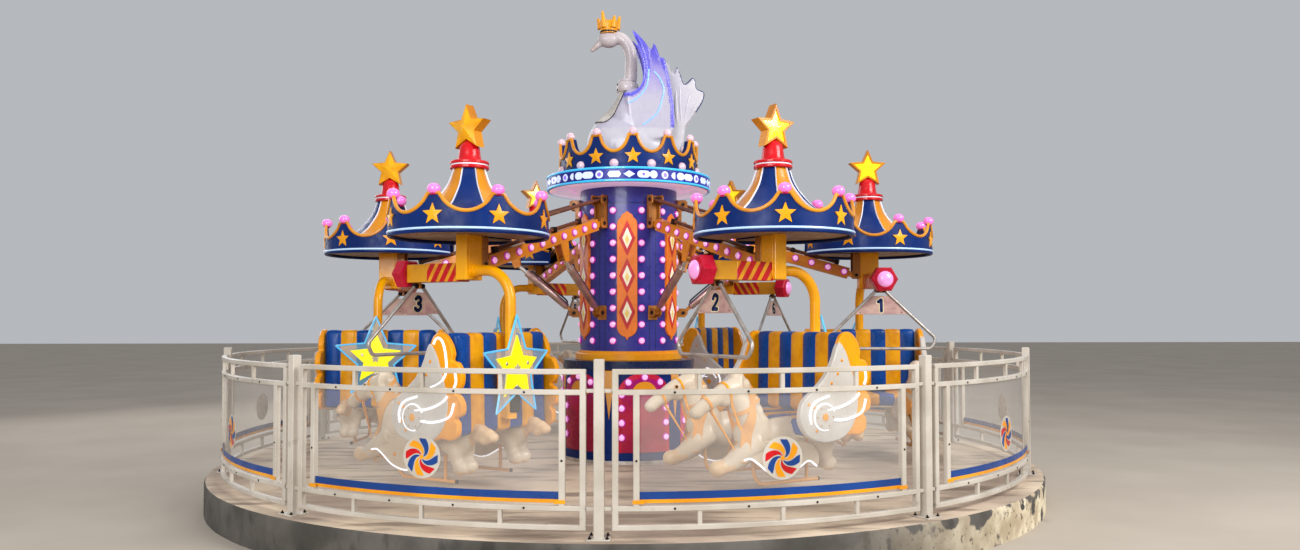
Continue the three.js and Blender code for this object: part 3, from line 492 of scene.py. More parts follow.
def lathe(profile, segments=48, start=0.0, end=360.0):
    """A closed profile of (radius, z) points turned round Z, capped where it stops short of a turn."""
    whole = end - start >= 360
    angles = np.radians(np.linspace(start, end, segments + 1))[: segments if whole else None]
    rings = [[(r * math.sin(a), -r * math.cos(a), z) for r, z in profile] for a in angles]
    return loft(rings, whole)


def turned(profile, segments=48):
    """A lathed solid, closed to its axis by flat ends."""
    return lathe([(0, profile[0][1]), *profile, (0, profile[-1][1])], segments)


def curve(points, steps=6, closed=False):
    """A smooth curve through the points."""
    p = np.asarray(points, float)
    p = np.vstack([p[-1:], p, p[:2]]) if closed else np.vstack([2 * p[0] - p[1], p, 2 * p[-1] - p[-2]])
    t = np.linspace(0, 1, steps, endpoint=False)[:, None]
    parts = []
    for a, b, c, d in zip(p, p[1:], p[2:], p[3:]):
        square = (2 * a - 5 * b + 4 * c - d) * t**2
        cube = (3 * b - a - 3 * c + d) * t**3
        parts.append(0.5 * (2 * b + (c - a) * t + square + cube))
    return np.vstack(parts) if closed else np.vstack(parts + [p[-2:-1]])


def rounded(corners, radius, steps=6):
    """A line through the corners, with an arc at each inner one."""
    corners = [Vector(c) for c in corners]
    path = [corners[0]]
    for before, corner, after in zip(corners, corners[1:], corners[2:]):
        a = (before - corner).normalized()
        b = (after - corner).normalized()
        half = a.angle(b) / 2
        centre = corner + (a + b).normalized() * radius / math.sin(half)
        start = corner + a * radius / math.tan(half) - centre
        end = corner + b * radius / math.tan(half) - centre
        turn = start.angle(end)
        for i in range(steps + 1):
            t = i / steps
            arc = start * math.sin((1 - t) * turn) + end * math.sin(t * turn)
            path.append(centre + arc / math.sin(turn))
    return np.array([tuple(p) for p in path + [corners[-1]]])


def tube(path, radius, sides=10, closed=False, flat=1.0):
    """A round tube along a path; flat thins it across the path's first side."""
    path = np.asarray(path, float)
    radii = np.broadcast_to(radius, len(path))
    ahead = np.roll(path, -1, 0) - np.roll(path, 1, 0)
    if not closed:
        ahead[0] = path[1] - path[0]
        ahead[-1] = path[-1] - path[-2]
    ahead /= np.linalg.norm(ahead, axis=1)[:, None]
    side = np.array((0.0, 0.0, 1.0)) if abs(ahead[0][2]) < 0.9 else np.array((0.0, 1.0, 0.0))
    angles = np.arange(sides) * TAU / sides
    rings = []
    for point, t, r in zip(path, ahead, radii):
        side = side - t * side.dot(t)
        side /= np.linalg.norm(side)
        other = np.cross(t, side)
        rings.append(point + r * (np.outer(np.cos(angles), side) + flat * np.outer(np.sin(angles), other)))
    return loft(rings, closed)


def inset(outline, depth):
    """A closed outline moved in by a depth."""
    p = np.asarray(outline, float)
    nxt = np.roll(p, -1, 0)
    turn = 1.0 if np.sum(p[:, 0] * nxt[:, 1] - p[:, 1] * nxt[:, 0]) > 0 else -1.0
    edge = nxt - p
    length = np.maximum(np.linalg.norm(edge, axis=1), 1e-9)[:, None]
    normal = np.stack([-edge[:, 1], edge[:, 0]], 1) * turn / length
    last = np.roll(normal, 1, 0)
    share = np.maximum(1 + np.sum(normal * last, 1), 0.25)
    return p + depth * (normal + last) / share[:, None]


PLANES = {"xz": (0, 2, 1), "yz": (1, 2, 0), "xy": (0, 1, 2)}


def flat_ring(outline, depth, plane):
    """A flat outline set at a depth in one of the three planes."""
    ring = np.zeros((len(outline), 3))
    a, b, c = PLANES[plane]
    ring[:, a], ring[:, b] = np.asarray(outline).T
    ring[:, c] = depth
    return ring


def prism(outline, low, high, plane="xz", edge=0.0, far_edge=None):
    """A plate between two depths, with chamfered edges."""
    far = edge if far_edge is None else far_edge
    rings = [flat_ring(inset(outline, edge), low, plane), flat_ring(outline, low + edge, plane)]
    rings += [flat_ring(outline, high - far, plane), flat_ring(inset(outline, far), high, plane)]
    return loft(rings)


def slab(outline, side, near, far, plane="xz", edge=0.0):
    """A plate on one side of the middle plane, between two distances from it."""
    low, high = sorted((side * near, side * far))
    return prism(outline, low, high, plane, edge)


def bar(low, high, axis=2, edge=0.003, steps=1):
    """A square bar between two corners, chamfered all round, cut into steps along one axis."""
    a, b = [i for i in range(3) if i != axis]
    corners = ((low[a], low[b], 1, 1), (high[a], low[b], -1, 1),
               (high[a], high[b], -1, -1), (low[a], high[b], 1, -1))

    def ring(at, depth):
        flat = []
        for i, (x, y, right, up) in enumerate(corners):
            pair = [(x + right * depth, y + up * edge), (x + right * edge, y + up * depth)]
            flat += pair if i % 2 == 0 else pair[::-1]
        points = np.zeros((8, 3))
        points[:, a], points[:, b] = np.array(flat).T
        points[:, axis] = at
        return points

    inner = [ring(at, 0.0) for at in np.linspace(low[axis] + edge, high[axis] - edge, steps + 1)]
    return loft([ring(low[axis], edge)] + inner + [ring(high[axis], edge)])


def circle(radius, count=32, centre=(0.0, 0.0), start=0.0, end=360.0):
    """The outline of a circle, or of a part of one in degrees."""
    whole = end - start >= 360
    angles = np.radians(np.linspace(start, end, count + (1 if whole else 0)))[: count if whole else None]
    return np.stack([centre[0] + radius * np.cos(angles), centre[1] + radius * np.sin(angles)], 1)


def star(tip, waist, centre=(0.0, 0.0), points=5):
    """The outline of a star with one point up."""
    angles = math.pi / 2 + np.arange(2 * points) * math.pi / points
    radii = np.where(np.arange(2 * points) % 2, waist, tip)
    return np.stack([centre[0] + radii * np.cos(angles), centre[1] + radii * np.sin(angles)], 1)


def faceted(outline, low, high, peak, centre=(0.0, 0.0), plane="xz"):
    """A plate whose upper face rises to a point over its centre."""
    rings = [flat_ring(outline, low, plane), flat_ring(outline, high, plane)]
    points, faces = loft(rings)
    n = len(outline)
    top = flat_ring([centre], peak, plane)
    faces = faces[:-1] + [(n + i, n + (i + 1) % n, 2 * n) for i in range(n)]
    return np.vstack([points, top]), faces


def ball(radius, centre=(0.0, 0.0, 0.0), sides=16, rings=10, shape=(1.0, 1.0, 1.0)):
    """A ball, stretched by its shape along each axis."""
    angles = np.linspace(-math.pi / 2, math.pi / 2, rings + 1)
    points, faces = lathe([(radius * math.cos(a), radius * math.sin(a)) for a in angles], sides)
    return points * np.array(shape) + np.array(centre), faces


def dome(radius, height, sides=12, rings=4):
    """A dome on the plane z = 0."""
    angles = np.linspace(0, math.pi / 2, rings + 1)
    return lathe([(0, 0)] + [(radius * math.cos(a), height * math.sin(a)) for a in angles], sides)


def wrapped(form, bearing, radius):
    """A form drawn flat, x along the ring, y outward and z up, bent round the Z axis at a bearing."""
    points, faces = form
    angle = math.radians(bearing) + points[:, 0] / radius
    r = radius + points[:, 1]
    return np.stack([r * np.sin(angle), -r * np.cos(angle), points[:, 2]], 1), faces


def moved(form, place):
    """The form carried to a place."""
    points, faces = form
    place = np.array(place)
    return points @ place[:3, :3].T + place[:3, 3], faces


def at(x, y, z):
    return Matrix.Translation((x, y, z))


def facing(point, normal, up=(0, 0, 1)):
    """The place of a form whose own z axis points along the normal."""
    z = Vector(normal).normalized()
    x = Vector(up).cross(z)
    x = x.normalized() if x.length > 1e-6 else Vector((1, 0, 0))
    place = Matrix((x, z.cross(x), z)).transposed().to_4x4()
    place.translation = point
    return place


def ring_point(radius, bearing, z):
    """The point on a ring at a bearing."""
    a = math.radians(bearing)
    return (radius * math.sin(a), -radius * math.cos(a), z)


def on_wall(radius, bearing, z):
    """The place of a form that stands out from a round wall along its own z axis."""
    return facing(ring_point(radius, bearing, z), ring_point(1, bearing, 0))


def on_ring(radius, bearing, z):
    """The place of a form drawn in the x-z plane, standing on a ring and facing outward."""
    turn = Matrix.Rotation(math.radians(bearing), 4, "Z")
    return turn @ at(0, -radius, z) @ Matrix.Diagonal((1, -1, 1, 1))


def rim_ring(radius, z, count=120):
    """Points all round a ring."""
    angles = np.arange(count) * TAU / count
    return np.stack([radius * np.sin(angles), -radius * np.cos(angles), np.full(count, z)], 1)


class Shape:
    """Forms gathered into one mesh."""

    def __init__(self):
        self.points = []
        self.faces = []
        self.paint = []
        self.count = 0

    def add(self, form, paint=0, place=None):
        """Adds a form; its paint is a number, or a function of a face's centre."""
        points, faces = form if place is None else moved(form, place)
        for face in faces:
            self.faces.append([self.count + i for i in face])
            self.paint.append(paint(points[list(face)].mean(0)) if callable(paint) else paint)
        self.points.append(points)
        self.count += len(points)
        return self

    def bulb(self, place, radius):
        """A lit cap of paint 0 in its collar of paint 1, standing along the place's z axis."""
        rim = radius * 0.3
        collar = [(radius * 0.6, 0), (radius, 0), (radius * 1.04, rim * 0.6), (radius * 0.96, rim)]
        self.add(lathe(collar + [(radius * 0.6, rim * 1.3)], 14), 1, place)
        cap = [(0, 0), (radius * 0.8, 0), (radius * 0.76, radius * 0.52), (radius * 0.54, radius * 0.76)]
        self.add(lathe(cap + [(0, radius * 0.86)], 14), 0, place)


def mesh_of(name, shape, looks, angle=35):
    """The shape's mesh, welded, with its faces pointing out, smooth but for edges sharper than the angle."""
    mesh = bpy.data.meshes.new(name)
    mesh.from_pydata(np.vstack(shape.points).tolist(), [], shape.faces)
    mesh.polygons.foreach_set("material_index", shape.paint)
    work = bmesh.new()
    work.from_mesh(mesh)
    bmesh.ops.remove_doubles(work, verts=work.verts, dist=2e-6)
    bmesh.ops.dissolve_degenerate(work, edges=work.edges, dist=1e-6)
    bmesh.ops.recalc_face_normals(work, faces=work.faces)
    work.to_mesh(mesh)
    work.free()
    for look in looks:
        mesh.materials.append(MATERIALS[look])
    mesh.shade_smooth()
    mesh.set_sharp_from_angle(angle=math.radians(angle))
    return mesh


def changed(mesh, prepare):
    """The mesh after the modifiers that prepare adds to an object of it."""
    helper = bpy.data.objects.new("helper", mesh)
    bpy.context.scene.collection.objects.link(helper)
    prepare(helper)
    bpy.context.view_layer.update()
    made = bpy.data.meshes.new_from_object(helper.evaluated_get(bpy.context.evaluated_depsgraph_get()))
    bpy.data.objects.remove(helper)
    return made


def sculpted(shape, voxel, rounds):
    """One smooth skin over the shape's overlapping forms."""

    def prepare(helper):
        remesh = helper.modifiers.new("skin", "REMESH")
        remesh.mode = "VOXEL"
        remesh.voxel_size = voxel
        smooth = helper.modifiers.new("smooth", "SMOOTH")
        smooth.factor = 0.5
        smooth.iterations = rounds

    return changed(mesh_of("lump", shape, ()), prepare)


def carved(form, low, high):
    """A form with a box cut out of it."""
    tool = bpy.data.objects.new("tool", mesh_of("tool", Shape().add(bar(low, high)), ()))
    bpy.context.scene.collection.objects.link(tool)

    def prepare(helper):
        cut = helper.modifiers.new("cut", "BOOLEAN")
        cut.operation = "DIFFERENCE"
        cut.object = tool

    made = changed(mesh_of("stock", Shape().add(form), ()), prepare)
    bpy.data.objects.remove(tool)
    return form_of(made)


def form_of(mesh):
    """A mesh's points and faces."""
    return np.array([v.co for v in mesh.vertices]), [tuple(p.vertices) for p in mesh.polygons]


# Placing the pieces
def unit_matrix(k):
    """The frame of an arm unit: y runs outward along its arm."""
    return Matrix.Rotation(math.radians(FIRST_ARM_BEARING + UNIT_PITCH * (k - 1) + 180), 4, "Z")


def gondola_matrix(k):
    """The frame of a unit's gondola, on the axis of its hanger post."""
    return unit_matrix(k) @ at(0, POST_R, 0)


def piece(name, mesh, body, slot, replaced=(), place=None):
    """An object that rides on a body and stands in for the nodes it replaces; its slot is not used."""
    made = bpy.data.objects.new(name, mesh)
    bpy.context.scene.collection.objects.link(made)
    if place is not None:
        made.matrix_world = place
    if replaced:
        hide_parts(*replaced)
    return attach(made, body)


def unit_pieces(name, mesh, body, slot, replaced=(), place=gondola_matrix):
    """Six pieces that share one mesh, each on its own unit's body."""
    made = []
    for k in UNITS:
        rides = body if body == "mast" else f"{body}_{k}"
        made.append(piece(f"{name}_{k}", mesh, rides, slot, [f"{node}_{k}" for node in replaced], place(k)))
    return made


# The ring of the plinth and the fence
def plinth_mesh():
    """The round plinth, its upper edge worn and chipped."""
    dice = np.random.default_rng(7)
    count = 240
    edge = 0.016
    sides = [(0.0, 0.0), (1.0, 0.0), (1.0, 0.13), (1.0, PLATFORM_Z - edge), (1.0, PLATFORM_Z)]
    sides += [(0.9, PLATFORM_Z), (0.5, PLATFORM_Z), (0.0, PLATFORM_Z)]
    wear = np.abs(np.convolve(dice.normal(0, 0.006, count + 8), np.ones(9) / 3, "valid"))
    chips = np.where(dice.random(count) > 0.93, dice.random(count) * 0.02, 0.0)
    rings = []
    for i in range(count):
        a = i * TAU / count
        ring = []
        for share, z in sides:
            r = PLINTH_R * share
            if share == 1.0:
                r -= wear[i] * 0.3
            if share == 1.0 and z == PLATFORM_Z:
                r -= edge * 0.7 + chips[i]
            if share == 1.0 and z == PLATFORM_Z - edge:
                z -= chips[i] * 0.8
            ring.append((r * math.sin(a), -r * math.cos(a), z))
        rings.append(ring)
    return mesh_of("plinth_slab", Shape().add(loft(rings, True)), ("concrete",), 50)


def pinwheel(shape, x, z, radius, depth, paints):
    """Eight swirled petals on a white disc, in turn of three colours."""
    shape.add(prism(circle(radius, 40, (x, z)), depth[0], depth[1]), paints[0])
    count = 8
    reach = np.linspace(0.12, 0.88, 9)
    for i in range(count):
        lead = i * TAU / count + 1.5 * reach
        width = 0.62 * np.sin(reach * math.pi * 0.94) ** 0.8 + 0.03
        angles = np.concatenate([lead, (lead + width)[::-1]])
        radii = np.concatenate([reach, reach[::-1]]) * radius
        petal = np.stack([x + radii * np.cos(angles), z + radii * np.sin(angles)], 1)
        shape.add(prism(petal, depth[0], depth[1] + 0.0012), paints[1 + i % 3])
    shape.add(prism(circle(radius * 0.1, 16, (x, z)), depth[0], depth[1] + 0.002), paints[2])


def fence_bay():
    """One bay, drawn flat from its post: its metal, its clear sheet and the prints on the sheet."""
    metal_work, sheet, prints = Shape(), Shape(), Shape()
    pitch = math.radians(360 / FENCE_POSTS) * FENCE_R
    half_rail, half_post = RAIL_W / 2, FENCE_POST_W / 2
    z = [PLATFORM_Z + height for height in RAIL_Z]
    first, last = PANEL_GAP, pitch - PANEL_GAP
    inner_first, inner_last = SHEET_INSET, pitch - SHEET_INSET

    def upright(x, half, low, high, edge):
        metal_work.add(bar((x - half, -half, low), (x + half, half, high), 2, edge))

    upright(0, half_post, PLATFORM_Z, FENCE_POST_TOP_Z, 0.005)
    upright(0, FENCE_BASE, PLATFORM_Z, PLATFORM_Z + 0.01, 0.002)
    for x in (-FENCE_BOLT, FENCE_BOLT):
        for y in (-FENCE_BOLT, FENCE_BOLT):
            foot = at(x, y, PLATFORM_Z)
            metal_work.add(lathe([(0, 0.01), (0.012, 0.01), (0.012, 0.019), (0, 0.021)], 6), 1, foot)
            metal_work.add(turned([(0.005, 0.01), (0.005, 0.03)], 8), 1, foot)
    for height in z:
        low = (first, -half_rail, height - RAIL_H / 2)
        metal_work.add(bar(low, (last, half_rail, height + RAIL_H / 2), 0, 0.004, 14))
    for x in (first, last - RAIL_W):
        upright(x + half_rail, half_rail, z[0], z[3], 0.004)
    for x in (inner_first, inner_last - RAIL_W):
        upright(x + half_rail, half_rail, z[1], z[2], 0.004)
    for share in (0.25, 0.5, 0.75):
        for low, high in ((z[0], z[1]), (z[2], z[3])):
            upright(first + share * (last - first), BALUSTER_HALF, low, high, 0.003)
    for height in SPACER_Z:
        for x0, x1 in ((half_post - 0.002, first), (last, pitch - half_post + 0.002)):
            metal_work.add(bar((x0, -0.012, height - 0.012), (x1, 0.012, height + 0.012), 0, 0.002, 2))
    sheet.add(bar((inner_first + 0.004, -0.003, z[1]), (inner_last - 0.004, 0.003, z[2]), 0, 0.001, 16))
    screw = lathe([(0, 0), (0.008, 0), (0.007, 0.003), (0, 0.004)], 8)
    outward = Matrix.Rotation(-math.pi / 2, 4, "X")
    spots = [(share * pitch, height) for height in (z[1], z[2]) for share in (0.2, 0.4, 0.6, 0.8)]
    spots += [(x + half_rail, 0.76) for x in (inner_first, inner_last - RAIL_W)]
    for x, height in spots:
        metal_work.add(screw, 1, at(x, half_rail, height) @ outward)
    low, middle, high = STRIPE_Z
    left, right = inner_first + RAIL_W, inner_last - RAIL_W
    prints.add(bar((left, PRINT_Y[0], middle), (right, PRINT_Y[1], high), 0, 0.0004, 16), 0)
    prints.add(bar((left, PRINT_Y[0], low), (right, PRINT_Y[1], middle), 0, 0.0004, 16), 1)
    for x in (inner_first - 0.004, inner_last - RAIL_W - 0.03):
        corner = (x + 0.074, half_rail + 0.002, middle - 0.002)
        prints.add(bar((x, half_rail, low - 0.004), corner, 0, 0.0006, 2), 1)
    pinwheel(prints, pitch / 2, 0.755, 0.14, PRINT_Y, (2, 0, 1, 3))
    return metal_work, sheet, prints


def bent_copy(parts, bearings):
    """The flat bay's forms bent round the ring at each bearing."""
    made = Shape()
    flat = (np.vstack(parts.points), parts.faces)
    for bearing in bearings:
        points, faces = wrapped(flat, bearing, FENCE_R)
        made.faces += [[made.count + i for i in face] for face in faces]
        made.paint += parts.paint
        made.points.append(points)
        made.count += len(points)
    return made


def fence():
    """The ring fence, two bays to a piece."""
    layers = (("frame", "white_paint", ("white", "dark_steel")), ("sheet", "clear_acrylic", ("acrylic",)),
              ("print", "white_paint", ("print_blue", "gold", "white", "red")))
    bay = fence_bay()
    pitch = 360 / FENCE_POSTS
    for i in range(1, FENCE_POSTS + 1, 2):
        bearings = [FIRST_POST_BEARING + (post - 1) * pitch for post in (i, i + 1)]
        for flat, (layer, slot, looks) in zip(bay, layers):
            mesh = mesh_of(f"fence_{layer}", bent_copy(flat, bearings), looks, 30)
            replaced = [f"fence_bays_{i}_{i + 1}"] if layer == "frame" else ()
            piece(f"fence_{layer}_{i}_{i + 1}", mesh, "root", slot, replaced)


# The drum and the turning mast
def arch(half, low, spring, rise, steps=12):
    """A panel with upright sides and a round top."""
    angles = np.linspace(0, math.pi, steps + 1)
    top = [(half * math.cos(a), spring + rise * math.sin(a)) for a in angles]
    sides = [(half, z) for z in np.linspace(low, spring, 6)[:-1]]
    floor = [(x, low) for x in np.linspace(-half, half, 9)[1:-1]]
    return np.array(sides + top + [(-x, z) for x, z in sides[::-1]] + floor)


def filled(outline, low, high, rows=10):
    """A plate on a bent face, with rows across it so that it follows the bend."""
    outline = np.asarray(outline)
    left, right = outline[:, 0].min(), outline[:, 0].max()
    columns = np.linspace(left, right, rows + 1)
    nxt = np.roll(outline, -1, 0)
    rings = []
    for x in columns:
        hits = []
        for (x0, z0), (x1, z1) in zip(outline, nxt):
            if (x0 - x) * (x1 - x) <= 0 and abs(x1 - x0) > 1e-9:
                hits.append(z0 + (z1 - z0) * (x - x0) / (x1 - x0))
        if not hits:
            hits = [z for x0, z in outline if abs(x0 - x) < 1e-6]
        z0, z1 = min(hits), max(hits)
        rings.append([(x, low, z0), (x, high, z0), (x, high, z1), (x, low, z1)])
    return loft(rings)


DRUM_PANEL_BEARING = 13
DRUM_PANEL_HALF = 0.265
DRUM_SPRING_Z = 0.93
DRUM_RISE = 0.21
DRUM_BAND_Z = 1.165
DRUM_SUN_R = 0.126
DRUM_LAMP_Z = (0.52, 0.66, 0.80)
DRUM_SKIRT = [(0.694, PLATFORM_Z), (0.694, 0.302), (0.68, 0.306), (0.68, 0.372), (DRUM_R, 0.376)]
# Flat layers of the drum's wall: outline, how proud it stands, rows, paint and turn from the panel's middle
DRUM_LAYERS = ((arch(DRUM_PANEL_HALF, 0.376, DRUM_SPRING_Z, DRUM_RISE), 0.004, 24, 1, 0),
               (arch(DRUM_PANEL_HALF - 0.05, 0.378, DRUM_SPRING_Z, DRUM_RISE - 0.05), 0.007, 24, 2, 0),
               (circle(DRUM_SUN_R, 20, (0, DRUM_SPRING_Z), 0, 180), 0.013, 16, 7, 0),
               ([(-0.062, 1.16), (0.062, 1.16), (0.0, 0.69)], 0.003, 8, 3, 30),
               ([(-0.05, 1.15), (0.05, 1.15), (0.0, 0.72)], 0.006, 8, 6, 30))


def drum():
    """The drum under the turning mast, with its arched panels, suns, pennants and lamps."""
    shape, bulbs = Shape(), Shape()
    skirt = turned(DRUM_SKIRT + [(DRUM_R, DRUM_BAND_Z)], 96)
    shape.add(skirt, lambda c: 4 if c[2] < 0.304 else 0)
    band = [(0.5, DRUM_BAND_Z), (0.668, DRUM_BAND_Z), (0.672, DRUM_BAND_Z + 0.004), (0.672, DRUM_TOP_Z)]
    shape.add(lathe(band + [(0.5, DRUM_TOP_Z)], 96), 5)
    for k in range(6):
        bearing = DRUM_PANEL_BEARING + 60 * k
        for outline, proud, rows, paint, turn in DRUM_LAYERS:
            shape.add(wrapped(filled(outline, -0.004, proud, rows), bearing + turn, DRUM_R), paint)
        for x, z in drum_lamps():
            place = on_wall(DRUM_R, bearing + math.degrees(x / DRUM_R), z)
            bulbs.bulb(place @ at(0, 0, 0.004), WALL_LAMP_R)
    looks = ("navy", "crimson_rim", "crimson", "gold", "steel", "band_navy", "peach", "bronze_gold")
    piece("drum_housing", mesh_of("drum", shape, looks, 30), "root", "crimson_panel", ["base_drum"])
    piece("drum_bulbs", mesh_of("drum_bulbs", bulbs, LAMP_LOOKS), "root", "pink_bulb")


def drum_lamps():
    """Places of the lamps along one panel's arch."""
    side = DRUM_PANEL_HALF - 0.045
    rise = DRUM_RISE - 0.042
    lamps = [(sign * side, z) for z in DRUM_LAMP_Z for sign in (-1, 1)]
    angles = np.radians(np.linspace(0, 180, 5))
    return lamps + [(side * math.cos(a), DRUM_SPRING_Z + rise * math.sin(a)) for a in angles]


def trim_outline():
    """Half-round ends with stepped shoulders and a small cusp."""
    half = TRIM_W / 2
    low, high = TRIM_Z
    steps = ((0, 0.13), (0.004, 0.1), (0.022, 0.075), (0.04, 0.06), (0.046, 0.038), (0.06, 0.026))
    top = [(half - across, high - down) for across, down in steps]
    top += [(0.024, high - 0.02), (0.012, high - 0.008)]
    angles = np.radians(np.linspace(0, 78, 7))
    bottom = [(half * math.cos(a), low + 0.03 + half - half * math.sin(a)) for a in angles]
    bottom += [(0.014, low + 0.024), (0.006, low + 0.008)]
    right = [(0, low)] + bottom[::-1] + top + [(0, high)]
    return np.array(right + [(-x, z) for x, z in right[-2:0:-1]])


DIAMOND_Z = (2.449, 2.079, 1.725)
# Plates of a diamond: half width, half height, how proud it stands, paint and how far it hangs down
DIAMOND_PLATES = ((0.08, 0.176, 0.003, 3, 0), (0.047, 0.106, 0.005, 4, 0), (0.022, 0.05, 0.0065, 6, 0.014))
TRIM_FACE = COLUMN_R + 0.016
FIRST_TRIM_BEARING = -2
SEAM_Z = (1.34, 2.79)
SEAM_TURN = 26
MAST_LAMP_ROWS = 9
MAST_LAMP_TURN = 16.3
MAST_LAMP_Z = 1.444
MAST_LAMP_PITCH = 0.16


def mast():
    """The column with its flange, gold trims, diamonds, seams and rows of lamps."""
    column, bulbs = Shape(), Shape()
    column.add(turned([(COLUMN_R, 1.26), (COLUMN_R, COLUMN_TOP_Z)], 144), 0)
    column.add(lathe([(0.49, 2.795), (0.4965, 2.795), (0.4965, 2.803), (0.49, 2.803)], 96), 5)
    low, high = FLANGE_Z
    rim = [(0.3, low), (0.541, low), (0.545, low + 0.006), (0.545, high - 0.006), (0.539, high + 0.002)]
    column.add(lathe(rim + [(0.3, high + 0.002)], 96), 1)
    step = [(0.3, high), (0.515, high), (0.515, high + 0.022), (0.505, high + 0.026), (0.3, high + 0.026)]
    column.add(lathe(step, 96), 1)
    for k in range(6):
        bearing = FIRST_TRIM_BEARING + 60 * k
        turn = Matrix.Rotation(math.radians(bearing + 180), 4, "Z")
        column.add(prism(trim_outline(), COLUMN_R - 0.03, TRIM_FACE, "xz", 0.0, 0.004), 2, turn)
        for z in DIAMOND_Z:
            for across, up, proud, paint, drop in DIAMOND_PLATES:
                outline = [(across, z - drop), (0, z - drop + up), (-across, z - drop), (0, z - drop - up)]
                plate = prism(outline, TRIM_FACE - 0.004, TRIM_FACE + proud, "xz", 0.0, 0.001)
                column.add(plate, paint, turn)
        for side in (-1, 1):
            seam = bar((-0.003, COLUMN_R - 0.004, SEAM_Z[0]), (0.003, COLUMN_R + 0.001, SEAM_Z[1]), 2, 0.0005)
            column.add(seam, 5, turn @ Matrix.Rotation(math.radians(side * SEAM_TURN), 4, "Z"))
            for row in range(MAST_LAMP_ROWS):
                z = MAST_LAMP_Z + MAST_LAMP_PITCH * row
                bulbs.bulb(on_wall(COLUMN_R, bearing + side * MAST_LAMP_TURN, z), WALL_LAMP_R)
    looks = ("mast_navy", "gold", "yellow_orange", "red", "diamond_white", "band_navy", "pane_yellow")
    mesh = mesh_of("mast_column", column, looks, 30)
    piece("mast_column_shell", mesh, "mast", "navy_paint", ["mast_column"])
    piece("mast_bulbs", mesh_of("mast_bulbs", bulbs, LAMP_LOOKS), "mast", "pink_bulb")


MOUTH_R = 0.545
RAM_PLATE_Z = (1.65, 1.79)


def brackets():
    """The arm and ram brackets of one unit, in the unit's frame."""
    shape = Shape()
    margin, cut, foot_cut = 0.045, 0.02, 0.03
    back, front = COLUMN_R - 0.03, PIVOT_R + margin
    low, high = BEAM_PIVOT_Z - margin, BEAM_PIVOT_Z + LINK_RISE + margin
    mouth_low, mouth_high = BEAM_PIVOT_Z + 0.055, BEAM_PIVOT_Z + LINK_RISE - 0.055
    cheek = [(back, low), (front - cut, low), (front, low + cut), (front, mouth_low - cut)]
    cheek += [(front - cut, mouth_low), (MOUTH_R, mouth_low), (MOUTH_R, mouth_high)]
    cheek += [(front - cut, mouth_high), (front, mouth_high + cut), (front, high - cut), (front - cut, high)]
    cheek.append((back, high))
    foot_low, foot_high = RAM_FOOT[1] - margin, RAM_FOOT[1] + margin
    foot = [(back, foot_low), (front - foot_cut, foot_low), (front, foot_low + foot_cut)]
    foot += [(front, foot_high - foot_cut), (front - foot_cut, foot_high), (back, foot_high)]
    bolt = turned([(0.02, 0), (0.02, 0.008), (0.017, 0.012)], 6)
    pins = ((BEAM_PIVOT_Z, CHEEK_X[1]), (BEAM_PIVOT_Z + LINK_RISE, CHEEK_X[1]), (RAM_FOOT[1], RAM_CHEEK_X[1]))
    for sign in (-1, 1):
        shape.add(slab(cheek, sign, *CHEEK_X, "yz", 0.0015))
        shape.add(slab(foot, sign, *RAM_CHEEK_X, "yz", 0.0015))
        for z, reach in pins:
            shape.add(bolt, 1, facing((sign * reach, PIVOT_R, z), (sign, 0, 0)))
    shape.add(bar((-CHEEK_X[1], COLUMN_R - 0.02, low), (CHEEK_X[1], COLUMN_R + 0.012, high), 2, 0.002), 0)
    low, high = RAM_PLATE_Z
    shape.add(bar((-0.05, COLUMN_R - 0.02, low), (0.05, COLUMN_R + 0.01, high), 2, 0.002), 0)
    mesh = mesh_of("mast_brackets", shape, ("bronze", "dark_steel"), 30)
    unit_pieces("mast_brackets", mesh, "mast", "brown_paint", (), unit_matrix)


def scallop(share, valley, peak, top_share, round_share):
    """Height of a crown's edge at a share of the pitch from a peak, with flat tops and round valleys."""
    from_valley = np.abs(np.abs(share) * 2 - 1) / (1 - top_share)
    t = np.clip(from_valley, 0, 1)
    return valley + (peak - valley) * (round_share * (1 - np.sqrt(1 - t**2)) + (1 - round_share) * t**2)


def crown_wall(radii, low, valley, peak, peaks, per_peak, top_share, phase=0.0, round_share=0.5):
    """A ring wall with a scalloped edge, and the path along that edge."""
    outer_low, outer_high, wall = radii
    count = peaks * per_peak
    rings, edge = [], []
    for i in range(count):
        share = (i / per_peak + 0.5) % 1 - 0.5
        top = float(scallop(share, valley, peak, top_share, round_share))
        a = math.radians(phase) + i * TAU / count
        lean = (top - low) / (peak - low)
        r_top = outer_low + (outer_high - outer_low) * lean
        ring = [(outer_low, low), (r_top, top), (r_top - wall, top), (outer_low - wall, low)]
        rings.append([(r * math.sin(a), -r * math.cos(a), z) for r, z in ring])
        edge.append(((r_top - wall / 2) * math.sin(a), -(r_top - wall / 2) * math.cos(a), top))
    return loft(rings, True), np.array(edge)


def small_star(tip, waist, thick):
    """A faceted star that stands on a wall."""
    return faceted(star(tip, waist), 0, thick * 0.5, thick)


def capsule(half, radius):
    """The outline of a bar with round ends."""
    angles = np.linspace(-1.57, 1.57, 9)
    right = [(half - radius + radius * math.cos(a), radius * math.sin(a)) for a in angles]
    return right + [(-x, z) for x, z in right[::-1]]


BAND_REPEATS = 5
DIAMOND = [(0.055, 0), (0, 0.034), (-0.055, 0), (0, -0.034)]
HALF_DISC = [(0.014, -0.034), (0.014, 0.034), (-0.006, 0.031), (-0.024, 0.018), (-0.03, 0.0),
             (-0.024, -0.018), (-0.006, -0.031)]
LOZENGE = [(0.066, 0), (0.046, 0.03), (-0.046, 0.03), (-0.066, 0), (-0.046, -0.03), (0.046, -0.03)]
